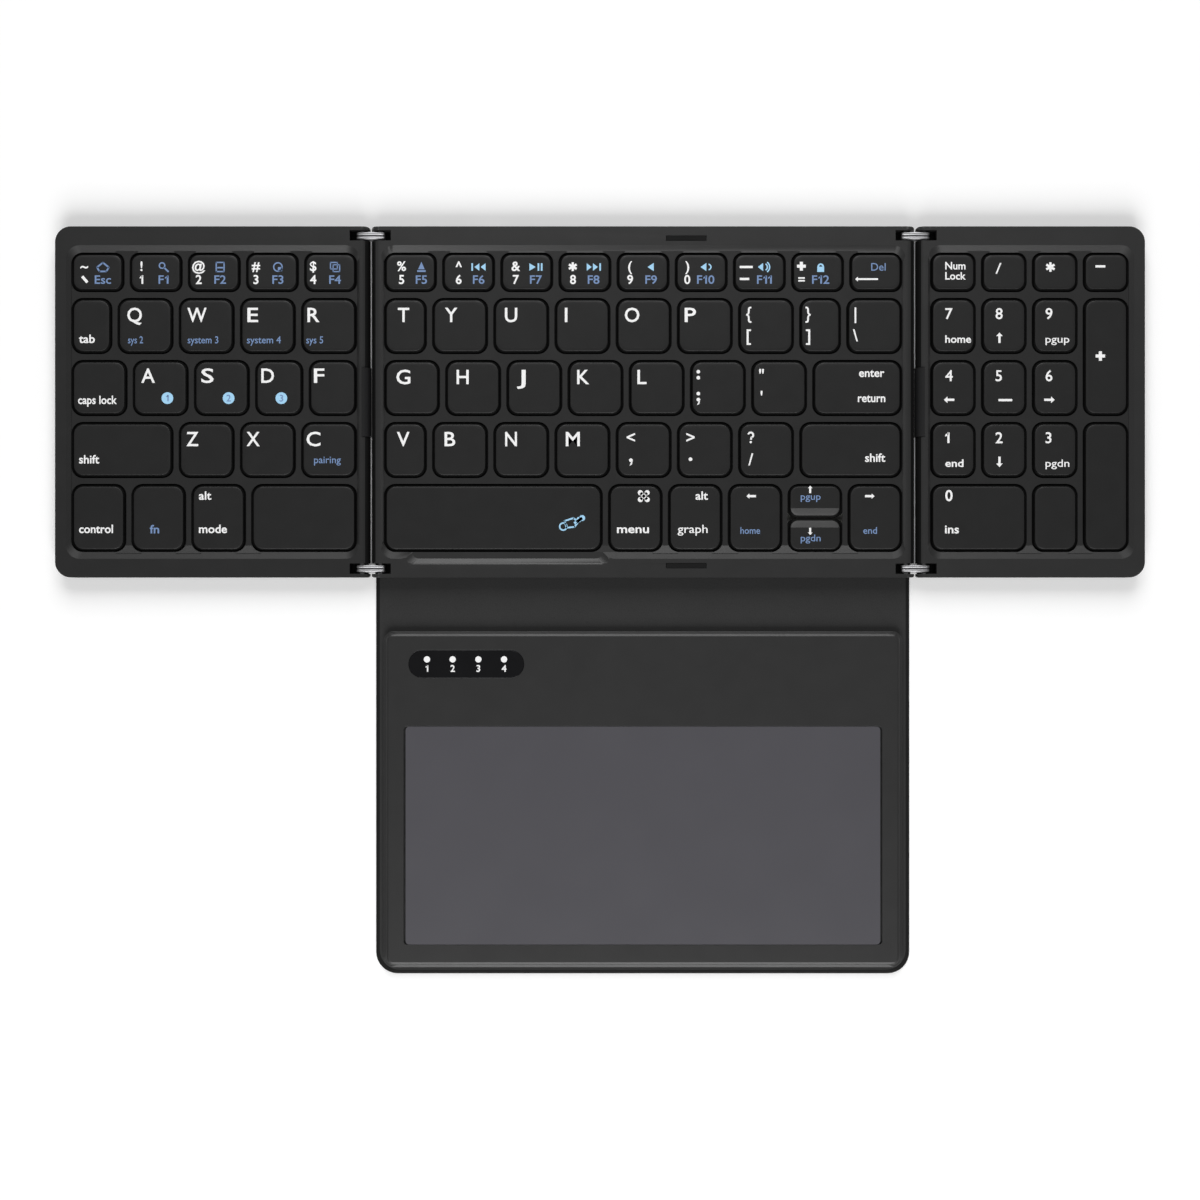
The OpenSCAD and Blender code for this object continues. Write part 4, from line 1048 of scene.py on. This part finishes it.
def add_ramp(bm, before, after, way, beyond, height):
    """Ramp from the lip down to the grid between two keys, way 1 at the rear end of the
    field and -1 at its front end. Its sides follow the rounded corners of the keys."""
    edge = before[3] if way > 0 else before[2]
    r = NUMBER_KEY_R if way > 0 else KEY_R
    reach = r + RAMP_GAP
    corner_y = edge - way * r
    start = edge + way * beyond
    foot = edge - way * RAMP_LEN
    left = []
    for i in range(RAMP_STEPS + 1):
        y = start + (foot - start) * i / RAMP_STEPS
        rise = min(max((y - corner_y) * way, 0.0), r + LIP_REACH)
        side = math.sqrt(max(reach * reach - rise * rise, 0.0)) - r
        left.append((side, y))
    points = [(before[1] + side, y) for side, y in left]
    points += [(after[0] - side, y) for side, y in reversed(left)]
    drop = (height - GRID_TOP) / abs(start - foot)
    top = [bm.verts.new((x, y, height - drop * abs(y - start))) for x, y in points]
    low = [bm.verts.new((x, y, GRID_TOP - 0.05)) for x, y in points]
    bm.faces.new(top)
    bm.faces.new(list(reversed(low)))
    for i in range(len(points)):
        j = (i + 1) % len(points)
        bm.faces.new((top[i], low[i], low[j], top[j]))


def make_ramps(panel):
    """The ramps between the keys of a panel's first and last rows"""
    bm = bmesh.new()
    for owner, way, nodes in END_ROWS:
        if owner != panel:
            continue
        row = sorted(box for node in nodes for box in KEYS[node])
        edge = max(b[3] for b in row) if way > 0 else min(b[2] for b in row)
        row = [b for b in row if abs((b[3] if way > 0 else b[2]) - edge) < 0.1]
        for before, after in zip(row, row[1:]):
            beside_scoop = before in KEYS["space_bar"]
            beyond = LIP_REACH if beside_scoop else RAMP_REACH
            height = LIP_TOP if beside_scoop else RAMP_TOP[way]
            add_ramp(bm, before, after, way, beyond, height)
    obj = object_from(bm, panel + "_ramps", 30.0)
    paint(obj, FINISH[panel + "_bezel"])
    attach(obj, BODY_OF[panel + "_key_grid"])


for panel_name in PANELS:
    make_ramps(panel_name)


# ---- Silicone domes ----

DOME_SHEET_T = 0.2
DOME_SHEET_R = 3.6
# Radius, and height as a share of the whole, from the foot of a dome to its top
DOME_STEPS = [(2.8, 0.0), (2.62, 0.07), (1.78, 0.85), (1.62, 0.95), (1.35, 1.0)]


def make_dome_web(sheet):
    """The flat sheet that joins the domes of one panel"""
    lo, hi = node_box(sheet)
    bm = bmesh.new()
    loft(bm, [rounded(lo[0], hi[0], lo[1], hi[1], DOME_SHEET_R, z)
              for z in (lo[2], lo[2] + DOME_SHEET_T)])
    obj = object_from(bm, sheet + "_web")
    paint(obj, "silicone")
    stand_for(obj, sheet)


def make_domes(node):
    """The domes under one node's keys"""
    sheet = SHEET_ON[PARENT_OF[BODY_OF[node]]]
    lo, hi = node_box(sheet)
    foot = lo[2] + DOME_SHEET_T
    bm = bmesh.new()
    for x0, x1, y0, y1, _ in KEYS[node]:
        most = (y1 - y0) / 3
        loft(bm, [
            [(px, py, foot + (hi[2] - foot) * share)
             for px, py in disc((x0 + x1) / 2, (y0 + y1) / 2, min(r, most))]
            for r, share in DOME_STEPS])
    obj = object_from(bm, node + "_domes")
    paint(obj, "silicone")
    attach(obj, BODY_OF[sheet])
    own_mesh(obj)


SHEET_ON = {BODY_OF[panel + "_dome_sheet"]: panel + "_dome_sheet" for panel in PANELS}
for dome_sheet in SHEET_ON.values():
    make_dome_web(dome_sheet)
for key_node in KEY_NODES:
    make_domes(key_node)


# ---- Cover ----

COVER_R = 6.7
COVER_REAR_R = 3.0
# Inset from the sheet's outline and height over its underside, up its pressed edge
COVER_STEPS = [(0.25, 0.0), (0.05, 0.1), (0.0, 0.28), (0.06, 0.46), (0.3, 0.64), (0.7, 0.74)]
EDGE_BAND = 1.2
CREASE_CUT = 0.2
# How far a half is made beyond its square end before it is cut there
COVER_SPARE = 20.0
SPINE_LO, SPINE_HI = node_box("cover_spine")


def cover_part(name, y0, y1, r, creased):
    """Half of the cover sheet, with a pressed edge and cuts where it bends. Y0 is its
    rounded end; at y1 it meets the other half, which is cut square."""
    (x0, _, z0), (x1, _, z1) = SPINE_LO, SPINE_HI
    way = 1 if y1 > y0 else -1
    lo, hi = sorted((y0, y1 + way * COVER_SPARE))
    steps = [(inset, z0 + rise) for inset, rise in COVER_STEPS] + [(EDGE_BAND, z1), (1.5, z1)]
    bm = bmesh.new()
    rows = loft(bm, [
        rounded(x0 + inset, x1 - inset, lo + inset, hi - inset, r - inset * 0.5, z, 8)
        for inset, z in steps])
    border = {vert for row in rows[:-1] for vert in row}
    for face in bm.faces:
        if all(v in border for v in face.verts):
            face.material_index = 1
    cut_plane(bm, (0, y1, 0), (0, way, 0), clear=True)
    for i in range(-10, 11):
        cut_plane(bm, (0, creased + CREASE_CUT * i, 0), (0, way, 0))
    rim = [e for e in bm.edges if len(e.link_faces) == 1]
    bmesh.ops.holes_fill(bm, edges=rim)
    obj = object_from(bm, name, 40.0)
    paint(obj, "cover", "cover_edge")
    return obj


SPINE_MID = (SPINE_LO[1] + SPINE_HI[1]) / 2
CREASE_Z = (SPINE_LO[2] + SPINE_HI[2]) / 2
REAR_CREASE = SPINE_HI[1] - CREASE_Z
FRONT_CREASE = SPINE_LO[1] + CREASE_Z
COVER_REAR_Y = node_box("cover_back")[1][1]
COVER_FRONT_Y = node_box("cover_flap")[0][1]


def make_cover_half(name, rounded_y, r, creased, rear, front, *nodes):
    """Half of the cover, with cuts at its crease. Rear and front, the nodes between whose bodies it
    would bend, are not used.
    """
    half = cover_part(name, rounded_y, SPINE_MID, r, creased)
    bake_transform(half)
    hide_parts(*nodes)


make_cover_half("cover_rear_sheet", COVER_REAR_Y, COVER_REAR_R, REAR_CREASE,
                "cover_back", "cover_spine", "cover_back", "cover_spine")
make_cover_half("cover_front_sheet", COVER_FRONT_Y, COVER_R, FRONT_CREASE,
                "cover_spine", "cover_flap", "cover_flap")


# ---- Status marks ----

WINDOW_LO, WINDOW_HI = node_box("status_window")
# First indicator's place in the window, their pitch and radius, and the drop to their marks
STATUS_X = 5.6
STATUS_Y = 5.7
STATUS_PITCH = 7.9
STATUS_R = 0.97
STATUS_DROP = 1.8
STATUS_SINK = 0.005


def status_marks():
    """Four indicator dots and a small generic mark below each"""
    bm = bmesh.new()
    y = WINDOW_LO[1] + STATUS_Y
    z = WINDOW_HI[2] - STATUS_SINK
    for i in range(4):
        x = WINDOW_LO[0] + STATUS_X + STATUS_PITCH * i
        bm.faces.new([bm.verts.new((px, py, z)) for px, py in disc(x, y, STATUS_R, 24)])
        flat, faces = centred(word(str(i + 1), 2.0, None, 0.02))
        verts = [bm.verts.new((x + px, y - STATUS_DROP + py, z)) for px, py in flat]
        for face in faces:
            bm.faces.new([verts[k] for k in face])
    thicken(bm, FILM)
    obj = object_from(bm, "status_marks", PRINT_SHARP)
    paint(obj, "white")
    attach(obj, BODY_OF["status_window"])


status_marks()


# ---- Stage, lights and camera ----

FRAME_WIDTH = 367.2
CAMERA_HEIGHT = 560.0
CAMERA_Y = 0.55
FOCUS_Z = 6.0
# From here on in metres and watts. The floor glows by itself from GLOW_NEAR to GLOW_FAR,
# as distance from the object's middle and share of white.
FLOOR_SIZE = 40.0
FLOOR_ALBEDO = 0.95
GLOW_NEAR = (0.3, 0.12)
GLOW_FAR = (1.7, 1.0)
WALL_R = 18.0
WALL_H = 5.0
SOFTBOX_SIZE = (0.9, 0.85)
SOFTBOX_Y = 0.95
SOFTBOX_Z = 0.82
REAR_POWER = 9.7
FRONT_POWER = 13.2
WORLD_STRENGTH = 0.15
SENSOR = 36.0


def math_node(tree, operation, *values):
    """Math node fed with sockets or plain numbers"""
    node = tree.nodes.new("ShaderNodeMath")
    node.operation = operation
    for socket, value in zip(node.inputs, values):
        if isinstance(value, float):
            socket.default_value = value
        else:
            tree.links.new(value, socket)
    return node.outputs[0]


def far_glow(tree):
    """Share of white that the floor adds by itself, growing where the lamps don't reach"""
    where = tree.nodes.new("ShaderNodeTexCoord").outputs["Object"]
    away = tree.nodes.new("ShaderNodeVectorMath")
    away.operation = "LENGTH"
    tree.links.new(where, away.inputs[0])
    grow = map_range(tree, away.outputs["Value"], GLOW_NEAR, GLOW_FAR)
    grow.interpolation_type = "SMOOTHSTEP"
    return grow.outputs["Result"]


def card(name, albedo, glow_from):
    """Matt pale card that adds white of its own where the camera and reflections see it"""
    mat = bpy.data.materials.new(name)
    mat.use_nodes = True
    tree = mat.node_tree
    shader = tree.nodes["Principled BSDF"]
    shader.inputs["Base Color"].default_value = (albedo, albedo, albedo, 1.0)
    shader.inputs["Roughness"].default_value = 0.9
    shader.inputs["Specular IOR Level"].default_value = 0.0
    path = tree.nodes.new("ShaderNodeLightPath")
    seen = math_node(tree, "MAXIMUM", path.outputs["Is Camera Ray"],
                     path.outputs["Is Glossy Ray"])
    seen = math_node(tree, "MAXIMUM", seen, path.outputs["Is Transmission Ray"])
    shader.inputs["Emission Color"].default_value = (1.0, 1.0, 1.0, 1.0)
    glow = math_node(tree, "MULTIPLY", seen, glow_from(tree) if glow_from else 1.0)
    tree.links.new(glow, shader.inputs["Emission Strength"])
    return mat


def make_floor():
    bpy.ops.mesh.primitive_plane_add(size=FLOOR_SIZE, location=(0, 0, 0))
    floor = bpy.context.object
    floor.name = "floor"
    floor.data.materials.append(card("floor", FLOOR_ALBEDO, far_glow))


def make_backdrop():
    """Low white wall far round the floor, which hides its horizon in low views"""
    bm = bmesh.new()
    bmesh.ops.create_circle(bm, segments=48, radius=WALL_R)
    wall = bmesh.ops.extrude_edge_only(bm, edges=bm.edges[:])
    top = [g for g in wall["geom"] if isinstance(g, bmesh.types.BMVert)]
    bmesh.ops.translate(bm, verts=top, vec=(0, 0, WALL_H))
    mesh = bpy.data.meshes.new("backdrop")
    bm.to_mesh(mesh)
    bm.free()
    mesh.materials.append(card("backdrop", 0.0, None))
    link_new("backdrop", mesh)


def softbox(name, y, power):
    """Area lamp that faces the middle of the object"""
    place = (0.0, y, SOFTBOX_Z)
    data = bpy.data.lights.new(name, "AREA")
    data.shape = "RECTANGLE"
    data.size, data.size_y = SOFTBOX_SIZE
    data.energy = power
    lamp = link_new(name, data)
    lamp.location = place
    lamp.rotation_euler = (-Vector(place)).to_track_quat("-Z", "Y").to_euler()
    lamp.visible_camera = False


def make_world():
    world = bpy.data.worlds.new("studio")
    bpy.context.scene.world = world
    world.use_nodes = True
    ground = world.node_tree.nodes["Background"]
    ground.inputs["Color"].default_value = (1.0, 1.0, 1.0, 1.0)
    ground.inputs["Strength"].default_value = WORLD_STRENGTH


def make_camera():
    data = bpy.data.cameras.new("camera")
    data.sensor_width = SENSOR
    data.lens = SENSOR * (CAMERA_HEIGHT - FOCUS_Z) / FRAME_WIDTH
    camera = link_new("camera", data)
    camera.location = (0.0, CAMERA_Y * MM, CAMERA_HEIGHT * MM)
    bpy.context.scene.camera = camera


make_floor()
make_backdrop()
softbox("rear_softbox", SOFTBOX_Y, REAR_POWER)
softbox("front_softbox", -SOFTBOX_Y, FRONT_POWER)
make_world()
make_camera()
bpy.context.scene.view_settings.view_transform = "Standard"
